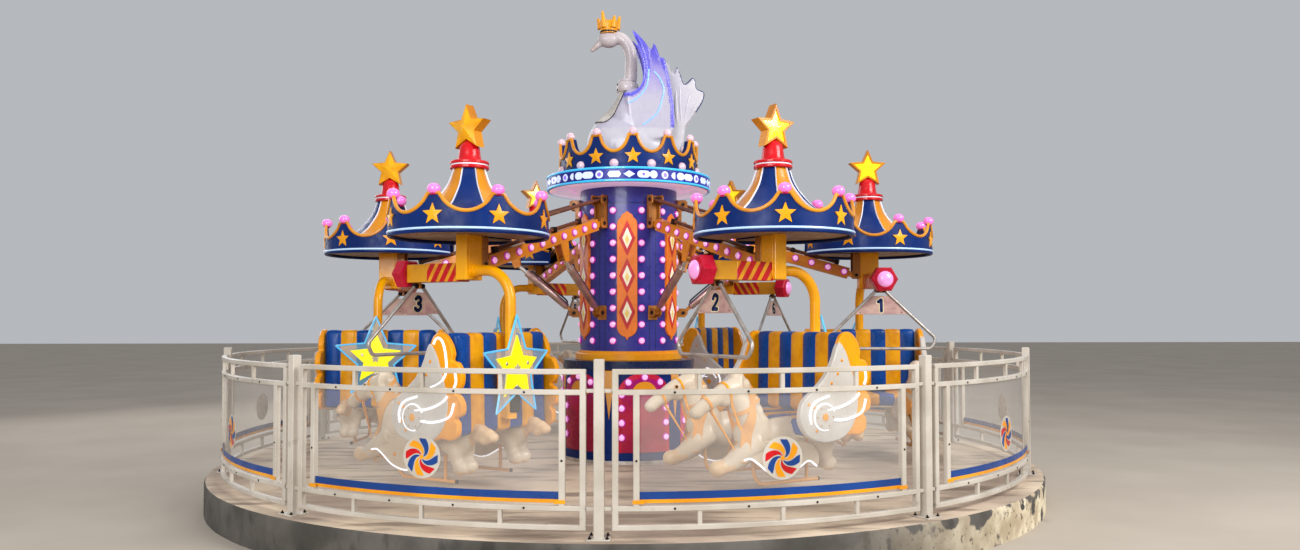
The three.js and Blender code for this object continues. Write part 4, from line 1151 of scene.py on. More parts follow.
# Lit shapes of the crown's band: place along it, outline, and the violet heart of some
BAND_MOTIFS = [(0.0, DIAMOND, None), (0.138, capsule(0.062, 0.034), circle(0.014, 24)),
               (0.236, circle(0.038, 24), None), (0.352, circle(0.036, 24), circle(0.02, 24)),
               (0.452, HALF_DISC, None), (0.533, capsule(0.046, 0.036), None),
               (0.636, capsule(0.06, 0.033), None), (0.758, circle(0.038, 24), circle(0.02, 24)),
               (0.905, LOZENGE, None)]
BAND_MIDDLE_Z = (COLUMN_TOP_Z + BRIM_TOP_Z) / 2
BAND_R = BRIM_R - 0.012
CROWN_STAR_Z = 3.228
CROWN_GLOBE_Z = 3.155
CROWN_FLOOR = [(0.66, 3.105), (0.66, 3.115)]


def crown():
    """The brim with its lit band and cyan tubes, and the scalloped crown with its stars and globes."""
    brim = Shape()
    profile = [(0.5, COLUMN_TOP_Z), (BAND_R - 0.02, COLUMN_TOP_Z), (BAND_R, COLUMN_TOP_Z + 0.008)]
    profile += [(BAND_R, BAND_MIDDLE_Z), (BAND_R, BRIM_TOP_Z - 0.006), (CROWN_R - 0.02, BRIM_TOP_Z)]

    def paint(centre):
        if centre[2] < COLUMN_TOP_Z + 0.001:
            return 1
        return 2 if centre[2] > BRIM_TOP_Z - 0.005 else 0

    brim.add(turned(profile, 144), paint)
    for z in (COLUMN_TOP_Z + 0.012, BRIM_TOP_Z - 0.008):
        brim.add(tube(rim_ring(BRIM_R - 0.013, z, 144), 0.0115, 10, True), 3)
    looks = ("brim_blue", "underlight", "sky", "neon_cyan")
    piece("crown_brim", mesh_of("crown_brim", brim, looks, 30), "mast", "neon_cyan", ["top_crown"])
    lights = Shape()
    for turn in range(BAND_REPEATS):
        for place, outline, violet in BAND_MOTIFS:
            bearing = turn * 360 / BAND_REPEATS + math.degrees(place / BAND_R)
            lights.add(band_light(prism(outline, -0.004, 0.006, "xz", 0.0, 0.003), bearing), 0)
            if violet is not None:
                lights.add(band_light(prism(violet, 0.0, 0.008, "xz", 0.0, 0.002), bearing), 1)
    lights_mesh = mesh_of("crown_lights", lights, ("band_light", "band_violet"))
    piece("crown_lights", lights_mesh, "mast", "neon_white")
    wall, globes = Shape(), Shape()
    heights = (BRIM_TOP_Z, CROWN_VALLEY_Z + 0.014, CROWN_PEAK_Z)
    form, edge = crown_wall((CROWN_R, CROWN_R, CROWN_T), *heights, CROWN_PEAKS, 28, 0.26, CROWN_PHASE, 0.8)
    wall.add(form, lambda c: 3 if math.hypot(c[0], c[1]) < CROWN_R - CROWN_T * 0.9 else 0)
    outer_edge = edge * np.array([(CROWN_R + 0.002) / (CROWN_R - CROWN_T / 2)] * 2 + [1.0])
    wall.add(tube(outer_edge, 0.0165, 8, True), 1)
    wall.add(turned(CROWN_FLOOR, 64), 0)
    pitch = 360 / CROWN_PEAKS
    for i in range(CROWN_PEAKS):
        bearing = CROWN_PHASE + i * pitch
        wall.add(small_star(0.084, 0.037, 0.018), 2, on_ring(CROWN_R + 0.001, bearing, CROWN_STAR_Z))
        globes.add(dome(0.045, 0.04, 16, 5), 0, on_wall(CROWN_R, bearing + pitch / 2, CROWN_GLOBE_Z))
        globes.add(ball(0.043, ring_point(CROWN_R - 0.012, bearing, CROWN_PEAK_Z + 0.03)), 0)
    looks = ("navy", "bronze_gold", "wall_star", "band_navy")
    piece("crown_wall", mesh_of("crown_wall", wall, looks, 40), "mast", "navy_paint")
    piece("crown_globes", mesh_of("crown_globes", globes, ("pearl_globe",)), "mast", "pink_bulb")


def band_light(form, bearing):
    """A flat light set on the crown's band."""
    points, faces = form
    return wrapped((points + (0, 0, BAND_MIDDLE_Z), faces), bearing, BAND_R)


# Arms
BEAM_RUN = HANGER_PIVOT_R - PIVOT_R
BEAM_DROP = BEAM_PIVOT_Z - HANGER_PIVOT_Z
BEAM_LENGTH = math.hypot(BEAM_RUN, BEAM_DROP)
BEAM_TILT = -math.atan2(BEAM_DROP, BEAM_RUN)


def beam_matrix(k, rise=0.0):
    """The frame of a unit's beam: y runs along it from the mast pivot."""
    tilt = Matrix.Rotation(BEAM_TILT, 4, "X")
    return unit_matrix(k) @ at(0, PIVOT_R, BEAM_PIVOT_Z + rise) @ tilt


def ram_matrix(k):
    """The frame of a unit's ram: y runs along it from its foot."""
    tilt = math.atan2(RAM_HEAD[1] - RAM_FOOT[1], RAM_HEAD[0] - RAM_FOOT[0])
    return unit_matrix(k) @ at(0, *RAM_FOOT) @ Matrix.Rotation(tilt, 4, "X")


ARM_LAMPS = 10
ARM_LAMP_PITCH = 0.172
CONDUIT_Z = 0.082
CONDUIT_ENDS = (0.34, 1.62)
ARM_BEVEL = 0.004
RAM_PIN_HALF = 0.0295
RAM_LENGTH = math.hypot(RAM_HEAD[0] - RAM_FOOT[0], RAM_HEAD[1] - RAM_FOOT[1])
BARREL = [(0.03, 0.095), (0.036, 0.105), (0.036, 0.628), (0.038, 0.63), (0.038, 0.64), (0.0215, 0.64),
          (0.0215, 0.3)]
HOSE = [(0, 0.12, 0.034), (0.0, 0.16, 0.05), (0.0, 0.36, 0.05), (0.0, 0.58, 0.049), (0, 0.62, 0.036)]


def arms():
    """The lamps, conduits and links of the arms, and their rams."""
    bulbs = Shape()
    for side in (-1, 1):
        for i in range(ARM_LAMPS):
            place = facing((side * BEAM_W / 2, 0.16 + ARM_LAMP_PITCH * i, 0.004), (side, 0, 0))
            bulbs.bulb(place, ARM_LAMP_R)
    unit_pieces("arm_bulbs", mesh_of("arm_bulbs", bulbs, LAMP_LOOKS), "arm", "pink_bulb", (), beam_matrix)
    conduit = Shape()
    near, far = CONDUIT_ENDS
    path = [(0.0, near, 0.05), (0.0, near, CONDUIT_Z), (0.0, far, CONDUIT_Z), (0.0, far, 0.05)]
    conduit.add(tube(rounded(path, 0.02, 4), 0.018, 12), 0)
    for y in (near, 0.75, 1.15, far):
        conduit.add(bar((-0.026, y - 0.02, 0.05), (0.026, y + 0.02, 0.106), 2, 0.004), 1)
    for y in (0.0, BEAM_LENGTH):
        for side in (-1, 1):
            cap = facing((side * 0.0508, y, 0), (side, 0, 0))
            conduit.add(turned([(0.024, -0.004), (0.024, 0.0)], 16), 1, cap)
    mesh = mesh_of("arm_conduit", conduit, ("brown", "dark_steel"))
    unit_pieces("arm_conduit", mesh, "arm", "brown_paint", (), beam_matrix)
    for k in UNITS:
        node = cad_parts[f"arm_{k}"]
        bevel = node.modifiers.new("soft_edges", "BEVEL")
        bevel.width = ARM_BEVEL
        bevel.segments = 2
        node.data.materials.clear()
        node.data.materials.append(MATERIALS["arm_orange"])
    rods = Shape()
    for x in (-0.028, 0.028):
        rods.add(tube([(x, 0.0, 0), (x, BEAM_LENGTH, 0)], 0.013, 14), 0)
    for y in (0.0, BEAM_LENGTH):
        rods.add(tube([(-0.0515, y, 0), (0.0515, y, 0)], 0.022, 18), 1)
        rods.add(bar((-0.04, y - 0.02, -0.018), (0.04, y + 0.02, 0.018), 1, 0.004), 1)
    mesh = mesh_of("link_rods", rods, ("brown", "dark_steel"))
    unit_pieces("link_rods", mesh, "link", "dark_steel", ["link"], lambda k: beam_matrix(k, LINK_RISE))
    barrel = Shape()
    along = Matrix.Rotation(-math.pi / 2, 4, "X")
    barrel.add(turned(BARREL, 28), 0, along)
    barrel.add(bar((-0.018, 0.0, -0.018), (0.018, 0.1, 0.018), 1, 0.004), 1)
    barrel.add(tube([(-RAM_PIN_HALF, 0, 0), (RAM_PIN_HALF, 0, 0)], 0.026, 20), 1)
    barrel.add(tube(curve(HOSE, 6), 0.008, 8), 2)
    mesh = mesh_of("ram_barrel", barrel, ("pink_steel", "bronze", "rubber"))
    unit_pieces("ram_barrel", mesh, "ram_tube", "steel", ["ram_tube"], ram_matrix)
    plunger = Shape()
    plunger.add(tube([(0, 0.31, 0), (0, RAM_LENGTH, 0)], 0.019, 20), 0)
    plunger.add(tube([(-RAM_PIN_HALF, RAM_LENGTH, 0), (RAM_PIN_HALF, RAM_LENGTH, 0)], 0.025, 20), 1)
    mesh = mesh_of("ram_plunger", plunger, ("steel", "bronze"))
    unit_pieces("ram_plunger", mesh, "ram_rod", "chrome", ["ram_rod"], ram_matrix)


# Gondola: hanger and canopy
def hanger():
    """The post with its lugs and bent tube, the striped boom and its hexagonal lamp."""
    frame_parts = Shape()
    half, deep = POST_W / 2, POST_D / 2
    frame_parts.add(bar((-half, -deep, POST_Z[0]), (half, deep, POST_Z[1]), 2, 0.006), 0)
    for x in (-half - 0.004, half):
        frame_parts.add(bar((x, -deep + 0.03, 2.0), (x + 0.004, deep - 0.03, 2.33), 2, 0.0015), 0)
    near, far = HANGER_PIVOT_R - POST_R - 0.034, -deep + 0.012
    low, high = HANGER_PIVOT_Z - 0.034, HANGER_PIVOT_Z + LINK_RISE + 0.034
    outline = [(near, low + 0.02), (near + 0.02, low), (far, low), (far, high), (near + 0.02, high)]
    outline.append((near, high - 0.02))
    bolt = turned([(0.018, 0), (0.018, 0.008), (0.015, 0.011)], 6)
    for sign in (-1, 1):
        frame_parts.add(slab(outline, sign, *CHEEK_X, "yz", 0.0015), 1)
        for z in (HANGER_PIVOT_Z, HANGER_PIVOT_Z + LINK_RISE):
            head = facing((sign * CHEEK_X[1], HANGER_PIVOT_R - POST_R, z), (sign, 0, 0))
            frame_parts.add(bolt, 2, head)
    wide = BOOM_W / 2
    x, z = LAP_PIVOT
    lug = 0.022
    frame_parts.add(bar((x - lug, -0.015, z - lug), (x + lug, 0.015, BOOM_Z[0] + 0.01), 2, 0.003), 1)
    path = [(-half + 0.02, 0, TUBE_TOP_Z), (TUBE_BACK_X, 0, TUBE_TOP_Z), (TUBE_BACK_X, 0, TUBE_FOOT_Z)]
    frame_parts.add(tube(rounded(path, 0.25, 16), TUBE_R, 24), 0)
    for x0, x1, r in ((-half - 0.012, -half, 0.062), (-0.106, -half - 0.012, 0.05)):
        frame_parts.add(tube([(x0, 0, TUBE_TOP_Z), (x1, 0, TUBE_TOP_Z)], r, 24), 0)
    mesh = mesh_of("hanger_frame", frame_parts, ("yellow", "bronze", "dark_steel"), 32)
    unit_pieces("hanger_frame", mesh, "gondola", "yellow_paint", ["hanger"])
    boom = Shape()
    boom.add(bar((half - 0.01, -wide, BOOM_Z[0]), (STRIPES_END, wide, BOOM_Z[1]), 0, 0.004), 0)
    boom.add(bar((STRIPES_END, -wide, BOOM_Z[0]), (BOOM_END, wide, BOOM_Z[1]), 0, 0.004), 1)
    unit_pieces("boom", mesh_of("boom", boom, ("boom", "boom_gold"), 32), "gondola", "gold_paint")
    lamp = Shape()
    middle = (BOOM_Z[0] + BOOM_Z[1]) / 2
    hexagon = circle(LAMP_R, 6, (0, middle))
    lamp.add(prism(hexagon, BOOM_END - 0.008, LAMP_END - 0.014, "yz", 0.014), 0)
    front = facing((LAMP_END - 0.015, 0, middle), (1, 0, 0))
    lamp.add(lathe([(0.07, 0), (0.094, 0), (0.094, 0.006), (0.086, 0.012), (0.07, 0.012)], 32), 0, front)
    lamp.add(dome(0.079, 0.045, 28, 7), 1, front)
    mesh = mesh_of("boom_lamp", lamp, ("lamp_red", "lamp_glass"), 32)
    unit_pieces("boom_lamp", mesh, "gondola", "red_paint")


# Turns about the upright of each unit's roof colours, and of its star from facing outward
ROOF_TURN = {1: 0, 2: 45, 3: 0, 4: 0, 5: 0, 6: 0}
STAR_TURN = {1: 0, 2: -90, 3: 180, 4: 180, 5: -90, 6: 180}
GORES = 8
NAVY_GORE = 128.5
ROOF_SLOPE = [(0.622, 2.44), (0.45, 2.478), (0.33, 2.55), (0.25, 2.632), (0.175, 2.735), (0.125, 2.872)]
ROOF_T = 0.012
CEILING = [(0.06, 2.332), (0.63, 2.332), (0.63, 2.342), (0.06, 2.342)]
CANOPY_STAR = (0.637, 2.44)
LINK_SLOT = ((-SLOT_HALF, -0.72, 2.29), (SLOT_HALF, -POST_D / 2 - 0.002, SLOT_TOP_Z))


def clear_of_slot(path):
    """A closed path opened where the link passes, from one side of its slot round to the other."""
    kept = [y > 0 or abs(x) > SLOT_HALF + 0.014 for x, y, _ in path]
    start = next(i for i in range(len(path)) if kept[i] and not kept[i - 1])
    return np.roll(path, -start, 0)[: sum(kept)]


def canopy():
    """The scalloped wall with its ceiling, trim, stars and globes, and on it the roof and the star."""
    wall = Shape()
    radii = (CANOPY_RIM_R, CANOPY_R, 0.018)
    heights = (CANOPY_RIM_Z, CANOPY_VALLEY_Z, CANOPY_PEAK_Z - 0.004)
    form, edge = crown_wall(radii, *heights, CANOPY_PEAKS, 24, 0.22, CANOPY_PHASE, 0.6)
    wall.add(carved(form, *LINK_SLOT), 0)
    # The ceiling under the canopy wears warm brown, a painted reflection
    wall.add(carved(lathe(CEILING, 72), *LINK_SLOT), 1)
    mesh = mesh_of("canopy_wall", wall, ("navy", "ceiling"), 40)
    unit_pieces("canopy_wall", mesh, "gondola", "navy_paint", ["canopy"])
    trim, globes = Shape(), Shape()
    # Gold trim along the scalloped edge, the navy rim pipe, and on top of the pipe a thin pale blue tube that
    # is its painted highlight
    rings = ((edge * np.array([1.016, 1.016, 1.0]), 0.0145, 8, 0),
             (rim_ring(CANOPY_RIM_R - 0.016, CANOPY_RIM_Z - 0.002), 0.0155, 10, 3),
             (rim_ring(CANOPY_RIM_R - 0.003, CANOPY_RIM_Z + 0.018), 0.0095, 8, 1))
    for ring, radius, sides, paint in rings:
        trim.add(tube(clear_of_slot(ring), radius, sides), paint)
    collar = turned([(0.026, -0.02), (0.034, -0.004), (0.03, 0.004)], 14)
    for i in range(CANOPY_PEAKS):
        bearing = CANOPY_PHASE + i * 360 / CANOPY_PEAKS
        trim.add(small_star(0.084, 0.036, 0.016), 2, on_ring(CANOPY_STAR[0], bearing, CANOPY_STAR[1]))
        trim.add(collar, 4, at(*ring_point(CANOPY_R - 0.009, bearing, CANOPY_PEAK_Z)))
        centre = ring_point(CANOPY_R - 0.009, bearing, CANOPY_PEAK_Z + 0.026)
        globes.add(ball(0.051, centre, 20, 12, (1.0, 1.0, 0.85)), 0)
    looks = ("bronze_gold", "rim_painted_highlight", "wall_star", "navy", "pale_red")
    unit_pieces("canopy_trim", mesh_of("canopy_trim", trim, looks, 40), "gondola", "gold_paint")
    unit_pieces("canopy_globes", mesh_of("canopy_globes", globes, ("globe",)), "gondola", "pink_bulb")
    for k in UNITS:
        piece(f"canopy_roof_{k}", roof(ROOF_TURN[k]), f"gondola_{k}", "navy_paint", (), gondola_matrix(k))
        turn = Matrix.Rotation(math.radians(STAR_TURN[k]), 4, "Z")
        piece(f"canopy_star_{k}", star_mesh(), f"gondola_{k}", "warm_light", (), gondola_matrix(k) @ turn)


def roof(turn):
    """The bell roof with gores in two colours and raised lines between them."""
    shape = Shape()
    slope = curve(ROOF_SLOPE, 5)
    inner = slope - np.array((ROOF_T, ROOF_T))
    profile = [tuple(p) for p in slope] + [tuple(p) for p in inner[::-1]]
    first = turn + NAVY_GORE - 180 / GORES

    def gore(centre):
        bearing = math.degrees(math.atan2(centre[0], -centre[1])) - first
        return int(bearing % 360 // (360 / GORES)) % 2

    shape.add(carved(lathe(profile, 96, first, first + 360), *LINK_SLOT), gore)
    for i in range(GORES):
        a = math.radians(first + i * 360 / GORES)
        line = [(r * math.sin(a), -r * math.cos(a), z) for r, z in slope + np.array((0.001, 0.002))]
        inside = [x for x, y, z in line if abs(x) < SLOT_HALF + 0.01 and y < 0 and z < SLOT_TOP_Z]
        line = line[len(inside):]
        shape.add(tube(line, 0.0105, 8, flat=0.5), 2)
    return mesh_of("canopy_roof", shape, ("roof_navy", "gore_gold", "line_white"), 40)


# Flanges under the star's neck: profile, segments and paint
FLANGES = (([(0.15, 2.866), (0.157, 2.873), (0.157, 2.888), (0.152, 2.893)], 48, 0),
           ([(0.149, 2.893), (0.149, 2.905)], 48, 1),
           ([(0.152, 2.905), (0.157, 2.91), (0.157, 2.924), (0.15, 2.931)], 48, 0))
NECK = [(0, 2.931), (0.104, 2.931), (0.096, 2.945), (0.088, 2.99), (0.082, 3.045), (0.074, 3.064),
        (0.05, 3.09), (0.026, 3.104), (0, 3.109)]


def star_mesh():
    """The neck on top of a canopy and the star on it: a lit face sunk in its rim in front, facets behind."""
    shape = Shape()
    for profile, segments, paint in FLANGES:
        shape.add(turned(profile, segments), paint)
    shape.add(lathe(NECK, 40), 0)
    outline = star(STAR_R, STAR_WAIST_R, (0, STAR_Z))
    half, edge, rim, sunk = STAR_T / 2, 0.004, 0.019, 0.012
    layers = [(edge, -half), (0, -half + edge), (0, half - edge), (edge, half), (rim, half)]
    layers.append((rim, half - sunk))
    shape.add(loft([flat_ring(inset(outline, depth), y, "xz") for depth, y in layers]), 2)
    face = inset(outline, rim)
    shape.add(faceted(face, half - sunk, half - sunk + 0.002, half - 0.004, (0, STAR_Z)), 3)
    shape.add(faceted(inset(outline, edge), -half + 0.01, -half, -half - 0.03, (0, STAR_Z)), 4)
    return mesh_of("canopy_star", shape, ("red", "line_white", "star_gold", "star_face", "star_back"), 30)


# Gondola: bench, shells, ponies and the rear star
def bulged(profile, width, rolls, swell, seam, steps=9, end_round=0.02):
    """A padded slab: a closed side profile carried across the bench, swelling between its sewn seams."""
    rings = []
    for i in range(rolls * steps + 1):
        t = (i % steps) / steps
        y = -width + 2 * width * i / (rolls * steps)
        out = swell * math.sin(math.pi * t) ** 0.55 if i % steps else -seam
        if i in (0, rolls * steps):
            out = -end_round
        rings.append([(x, y, z) for x, z in inset(profile, -out)])
    return loft(rings)


def rounded_outline(corners, radius, steps=5, spacing=0.03):
    """A closed outline with rounded corners and points at an even spacing."""
    corners = [Vector((x, 0, z)) for x, z in corners]
    middle = (corners[-1] + corners[0]) / 2
    path = rounded([tuple(middle)] + [tuple(c) for c in corners] + [tuple(middle)], radius, steps)[:-1]
    nxt = np.roll(path, -1, 0)
    even = []
    for a, b in zip(path, nxt):
        count = max(1, int(round(np.linalg.norm(b - a) / spacing)))
        even += [a + (b - a) * i / count for i in range(count)]
    return np.array(even)[:, [0, 2]]


CLOTH_FRAMES = 14
CLOTH_CAP = 0.012
SEAM_DEPTH = 0.006
BACKREST = [(-0.372, 0.79), (-0.304, 0.79), (-0.3, 0.88), (-0.218, 0.935), (-0.232, 1.545), (-0.352, 1.545)]
SEAT = [(-0.296, 0.775), (0.146, 0.775), (0.146, 0.898), (-0.296, 0.898)]


def blown(mesh, pinned):
    """The padded mesh with its cover blown up between the seams, no point moved by more than the cap."""
    start = form_of(mesh)[0]

    def prepare(helper):
        group = helper.vertex_groups.new(name="seams")
        group.add([i for i in range(len(start)) if pinned(start[i])], 1.0, "REPLACE")
        cloth = helper.modifiers.new("cover", "CLOTH")
        cloth.settings.quality = 6
        cloth.settings.mass = 0.3
        cloth.settings.tension_stiffness = 30
        cloth.settings.compression_stiffness = 12
        cloth.settings.shear_stiffness = 8
        cloth.settings.bending_stiffness = 0.4
        cloth.settings.use_pressure = True
        cloth.settings.uniform_pressure_force = 4
        cloth.settings.effector_weights.gravity = 0
        cloth.settings.vertex_group_mass = "seams"
        cloth.point_cache.frame_start = 1
        cloth.point_cache.frame_end = CLOTH_FRAMES
        for number in range(1, CLOTH_FRAMES + 1):
            bpy.context.scene.frame_set(number)

    made = changed(mesh, prepare)
    bpy.context.scene.frame_set(1)
    end = form_of(made)[0]
    shift = end - start
    length = np.linalg.norm(shift, axis=1)[:, None]
    end = start + shift * np.minimum(1.0, CLOTH_CAP / np.maximum(length, 1e-9))
    made.vertices.foreach_set("co", end.astype(np.float32).ravel())
    made.update()
    return made


def cushion_mesh(name, corners, radius, swell):
    """A cushion of the bench, sewn in stripes of two colours."""
    width = BENCH_HALF - 0.004
    roll = 2 * width / STRIPES

    def stripe(centre):
        return int(np.clip((centre[1] + width) / roll, 0, STRIPES - 1)) % 2

    padding = bulged(rounded_outline(corners, radius), width, STRIPES, swell, SEAM_DEPTH)
    mesh = mesh_of(name, Shape().add(padding, stripe), ("blue_vinyl", "gold_vinyl"), 60)
    seams = [-width + roll * i for i in range(STRIPES + 1)]
    return blown(mesh, lambda p: min(abs(p[1] - s) for s in seams) < 0.004)


def bench():
    """The two cushions of each seat."""
    back = cushion_mesh("backrest_cushion", BACKREST, 0.03, 0.006)
    seat = cushion_mesh("seat_cushion", SEAT, 0.035, 0.004)
    for made in unit_pieces("backrest_cushion", back, "gondola", "blue_vinyl", ["carriage"]):
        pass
    for made in unit_pieces("seat_cushion", seat, "gondola", "gold_vinyl"):
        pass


# Side view outlines of a wing shell: x forward, z up
SHELL_WHITE = [(0.0, 0.728), (0.144, 0.775), (0.213, 0.86), (0.226, 0.94), (0.194, 1.04), (0.085, 1.13),
               (-0.01, 1.215), (-0.085, 1.33), (-0.13, 1.44), (-0.165, 1.47), (-0.22, 1.40), (-0.272, 1.27),
               (-0.31, 1.15), (-0.335, 1.04), (-0.322, 0.93), (-0.27, 0.825), (-0.17, 0.75)]
SHELL_GOLD = [(0.05, 1.10), (-0.03, 1.21), (-0.11, 1.35), (-0.15, 1.47), (-0.185, 1.53), (-0.24, 1.557),
              (-0.30, 1.535), (-0.352, 1.47), (-0.375, 1.40), (-0.368, 1.35), (-0.425, 1.33),
              (-0.466, 1.25), (-0.455, 1.165), (-0.405, 1.115), (-0.44, 1.09), (-0.475, 1.03),
              (-0.466, 0.96), (-0.405, 0.925), (-0.43, 0.89), (-0.425, 0.81), (-0.36, 0.765),
              (-0.26, 0.77), (-0.14, 0.745), (0.03, 0.745), (0.13, 0.80), (0.18, 0.90), (0.15, 1.0)]
SHELL_RAYS = [[(0.13, 0.874), (0.14, 0.954), (0.088, 1.034), (-0.042, 1.076)],
              [(-0.024, 0.974), (-0.12, 0.982), (-0.22, 1.01), (-0.30, 1.05), (-0.34, 1.086)],
              [(-0.08, 0.895), (-0.18, 0.89), (-0.29, 0.91), (-0.37, 0.95), (-0.405, 1.04)]]
SHELL_ARCH = [(-0.195, 1.47), (-0.215, 1.505), (-0.245, 1.515), (-0.28, 1.49), (-0.305, 1.43), (-0.318, 1.36),
              (-0.322, 1.28), (-0.29, 1.21), (-0.23, 1.17), (-0.17, 1.15)]
SHELL_EDGE_RAY = [(-0.404, 1.27), (-0.415, 1.20), (-0.396, 1.15)]
SHELL_DOTS = [(0.10, 0.995), (0.12, 0.885), (0.075, 0.82), (-0.17, 1.34), (-0.13, 1.24), (-0.07, 1.17),
              (0.15, 1.02)]
SHELL_GOLD_Y = (0.557, 0.612)
SHELL_WHITE_Y = (0.565, 0.622)
SHELL_LINE_R = 0.0095
ROSETTE = (0.0, 0.92)
ARCHED_UNITS = (4, 5, 6)


def shells():
    """The wing shells beside each seat."""
    plain, arched = shell_pair(False), shell_pair(True)
    for k in UNITS:
        mesh = arched if k in ARCHED_UNITS else plain
        piece(f"wing_shells_{k}", mesh, f"gondola_{k}", "gold_shell", (), gondola_matrix(k))


def shell_pair(arched):
    """The two wing shells of a seat, some with a lit arch at the top."""
    shape = Shape()
    gold, white = curve(SHELL_GOLD, 5, True), curve(SHELL_WHITE, 5, True)
    for side in (-1, 1):
        shape.add(slab(gold, side, *SHELL_GOLD_Y, "xz", 0.012), 0)
        shape.add(slab(white, side, *SHELL_WHITE_Y, "xz", 0.009), 1)
        outer, face = side * SHELL_GOLD_Y[1], side * SHELL_WHITE_Y[1]
        routes = [(ray, face) for ray in SHELL_RAYS] + [(SHELL_EDGE_RAY, outer)]
        if arched:
            routes.append((SHELL_ARCH, outer))
        for route, depth in routes:
            path = [(x, depth + side * 0.003, z) for x, z in curve(route, 6)]
            shape.add(tube(path, SHELL_LINE_R, 8), 3)
        for x, z in SHELL_DOTS:
            shape.add(dome(0.013, 0.006, 12, 3), 2, facing((x, face - side * 0.001, z), (0, side, 0)))
        hub = facing((ROSETTE[0], face - side * 0.002, ROSETTE[1]), (0, side, 0))
        ring = [(0.05, 0), (0.092, 0), (0.098, 0.005), (0.094, 0.011), (0.085, 0.013), (0.05, 0.009)]
        shape.add(lathe(ring, 36), 1, hub)
        halo = [(0.099 * math.cos(a), 0.099 * math.sin(a), 0.006) for a in np.linspace(0.4, 5.0, 30)]
        shape.add(tube(halo, 0.006, 8), 3, hub)
        shape.add(lathe([(0, 0), (0.052, 0), (0.052, 0.008), (0.03, 0.013), (0, 0.011)], 24), 1, hub)
        petals = star(0.034, 0.022, points=8)
        shape.add(faceted(petals, 0.008, 0.016, 0.021, plane="xy"), 2, hub)
        for dot in range(6):
            a = dot * TAU / 6
            place = hub @ at(0.074 * math.cos(a), 0.074 * math.sin(a), 0.012)
            shape.add(dome(0.006, 0.004, 8, 2), 4, place)
    return mesh_of("wing_shells", shape, ("gold_shell", "shell_white", "gold", "neon_white", "bronze"), 40)


# Bars that carry a seat: two corners, the long axis, chamfer and paint
SEAT_BARS = (((TUBE_BACK_X, -0.053, 0.885), (-0.28, 0.053, 0.965), 0, 0.005, 0),
             ((-0.494, -0.043, 0.93), (TUBE_BACK_X, 0.043, 1.08), 2, 0.004, 1),
             ((-0.29, -0.53, 0.762), (0.14, 0.53, 0.78), 1, 0.006, 2),
             ((-0.30, -0.60, 0.80), (-0.24, 0.60, 0.86), 1, 0.006, 2),
             ((-0.10, -0.60, 0.785), (-0.04, 0.60, 0.84), 1, 0.006, 2))


def seat_frame():
    """The socket of the bent tube, its bridge to the bench, the seat pan and the pins of the shells."""
    shape = Shape()
    for low, wall in ((0.88, 0.01), (TUBE_FOOT_Z - 0.03, 0.02)):
        path = [(TUBE_BACK_X, 0, low), (TUBE_BACK_X, 0, TUBE_FOOT_Z - 0.0005)]
        shape.add(tube(path, TUBE_R + wall, 28), 0)
    for low, high, axis, edge, paint in SEAT_BARS:
        shape.add(bar(low, high, axis, edge), paint)
    mesh = mesh_of("seat_frame", shape, ("yellow", "dark_steel", "cream"), 32)
    unit_pieces("seat_frame", mesh, "gondola", "yellow_paint")


REAR_STAR_TIP = 0.415
REAR_STAR_WAIST = 0.188
REAR_STAR_HALF_T = 0.005
REAR_STAR_BOLTS = ((0, 1.13), (0.13, 1.31), (-0.13, 1.31))
# Raised faces of the rear star: tip, waist, three levels above the sheet and paint
REAR_STAR_FACES = ((0.262, 0.125, (-0.002, 0.003, 0.004), 2), (0.045, 0.022, (0.002, 0.006, 0.01), 3))


def rear_star():
    """The clear star behind the bent tube, with its lit rim, yellow heart and bolts."""
    shape = Shape()
    centre = (0, REAR_STAR_Z)
    outline = star(REAR_STAR_TIP, REAR_STAR_WAIST, centre)
    shape.add(prism(outline, REAR_STAR_X - REAR_STAR_HALF_T, REAR_STAR_X + REAR_STAR_HALF_T, "yz", 0.001), 0)
    rim = np.array([(REAR_STAR_X, y, z) for y, z in outline])
    loop = [a + (b - a) * t for a, b in zip(rim, np.roll(rim, -1, 0)) for t in (0.0, 0.05, 0.5, 0.95)]
    shape.add(tube(loop, 0.009, 6, True), 1)
    for sign in (-1, 1):
        for tip, waist, levels, paint in REAR_STAR_FACES:
            low, high, peak = (REAR_STAR_X + sign * (REAR_STAR_HALF_T + level) for level in levels)
            shape.add(faceted(star(tip, waist, centre), low, high, peak, centre, "yz"), paint)
    bolt = turned([(0.014, 0), (0.014, 0.004), (0.009, 0.008)], 12)
    for y, z in REAR_STAR_BOLTS:
        shape.add(bolt, 4, facing((REAR_STAR_X - 0.006, y, z), (-1, 0, 0)))
    mesh = mesh_of("rear_star", shape, ("star_acrylic", "rim_cyan", "star_yellow", "star_grey", "steel"), 30)
    unit_pieces("rear_star", mesh, "gondola", "blue_acrylic")


# Egg-shaped lumps of a pony: centre, half sizes, sides and rings
PONY_EGGS = (((0.14, 0, 0.76), (0.37, 0.115, 0.15), 28, 18), ((0.45, 0, 0.80), (0.165, 0.112, 0.175), 24, 16),
             ((-0.17, 0, 0.755), (0.18, 0.118, 0.16), 24, 16))
# Legs of a pony: side, path, its two radii and the hoof
PONY_LEGS = [(0.05, [(0.44, 0.74), (0.58, 0.66), (0.68, 0.60), (0.77, 0.565)], 0.095, 0.052, (0.80, 0.565)),
             (-0.05, [(0.40, 0.72), (0.50, 0.63), (0.60, 0.575), (0.69, 0.545)], 0.09, 0.05, (0.72, 0.545)),
             (0.04, [(-0.14, 0.74), (-0.20, 0.66), (-0.21, 0.60), (-0.235, 0.55)], 0.095, 0.046,
              (-0.25, 0.53)),
             (-0.04, [(-0.16, 0.74), (-0.22, 0.67), (-0.23, 0.61), (-0.255, 0.555)], 0.095, 0.046,
              (-0.27, 0.535))]
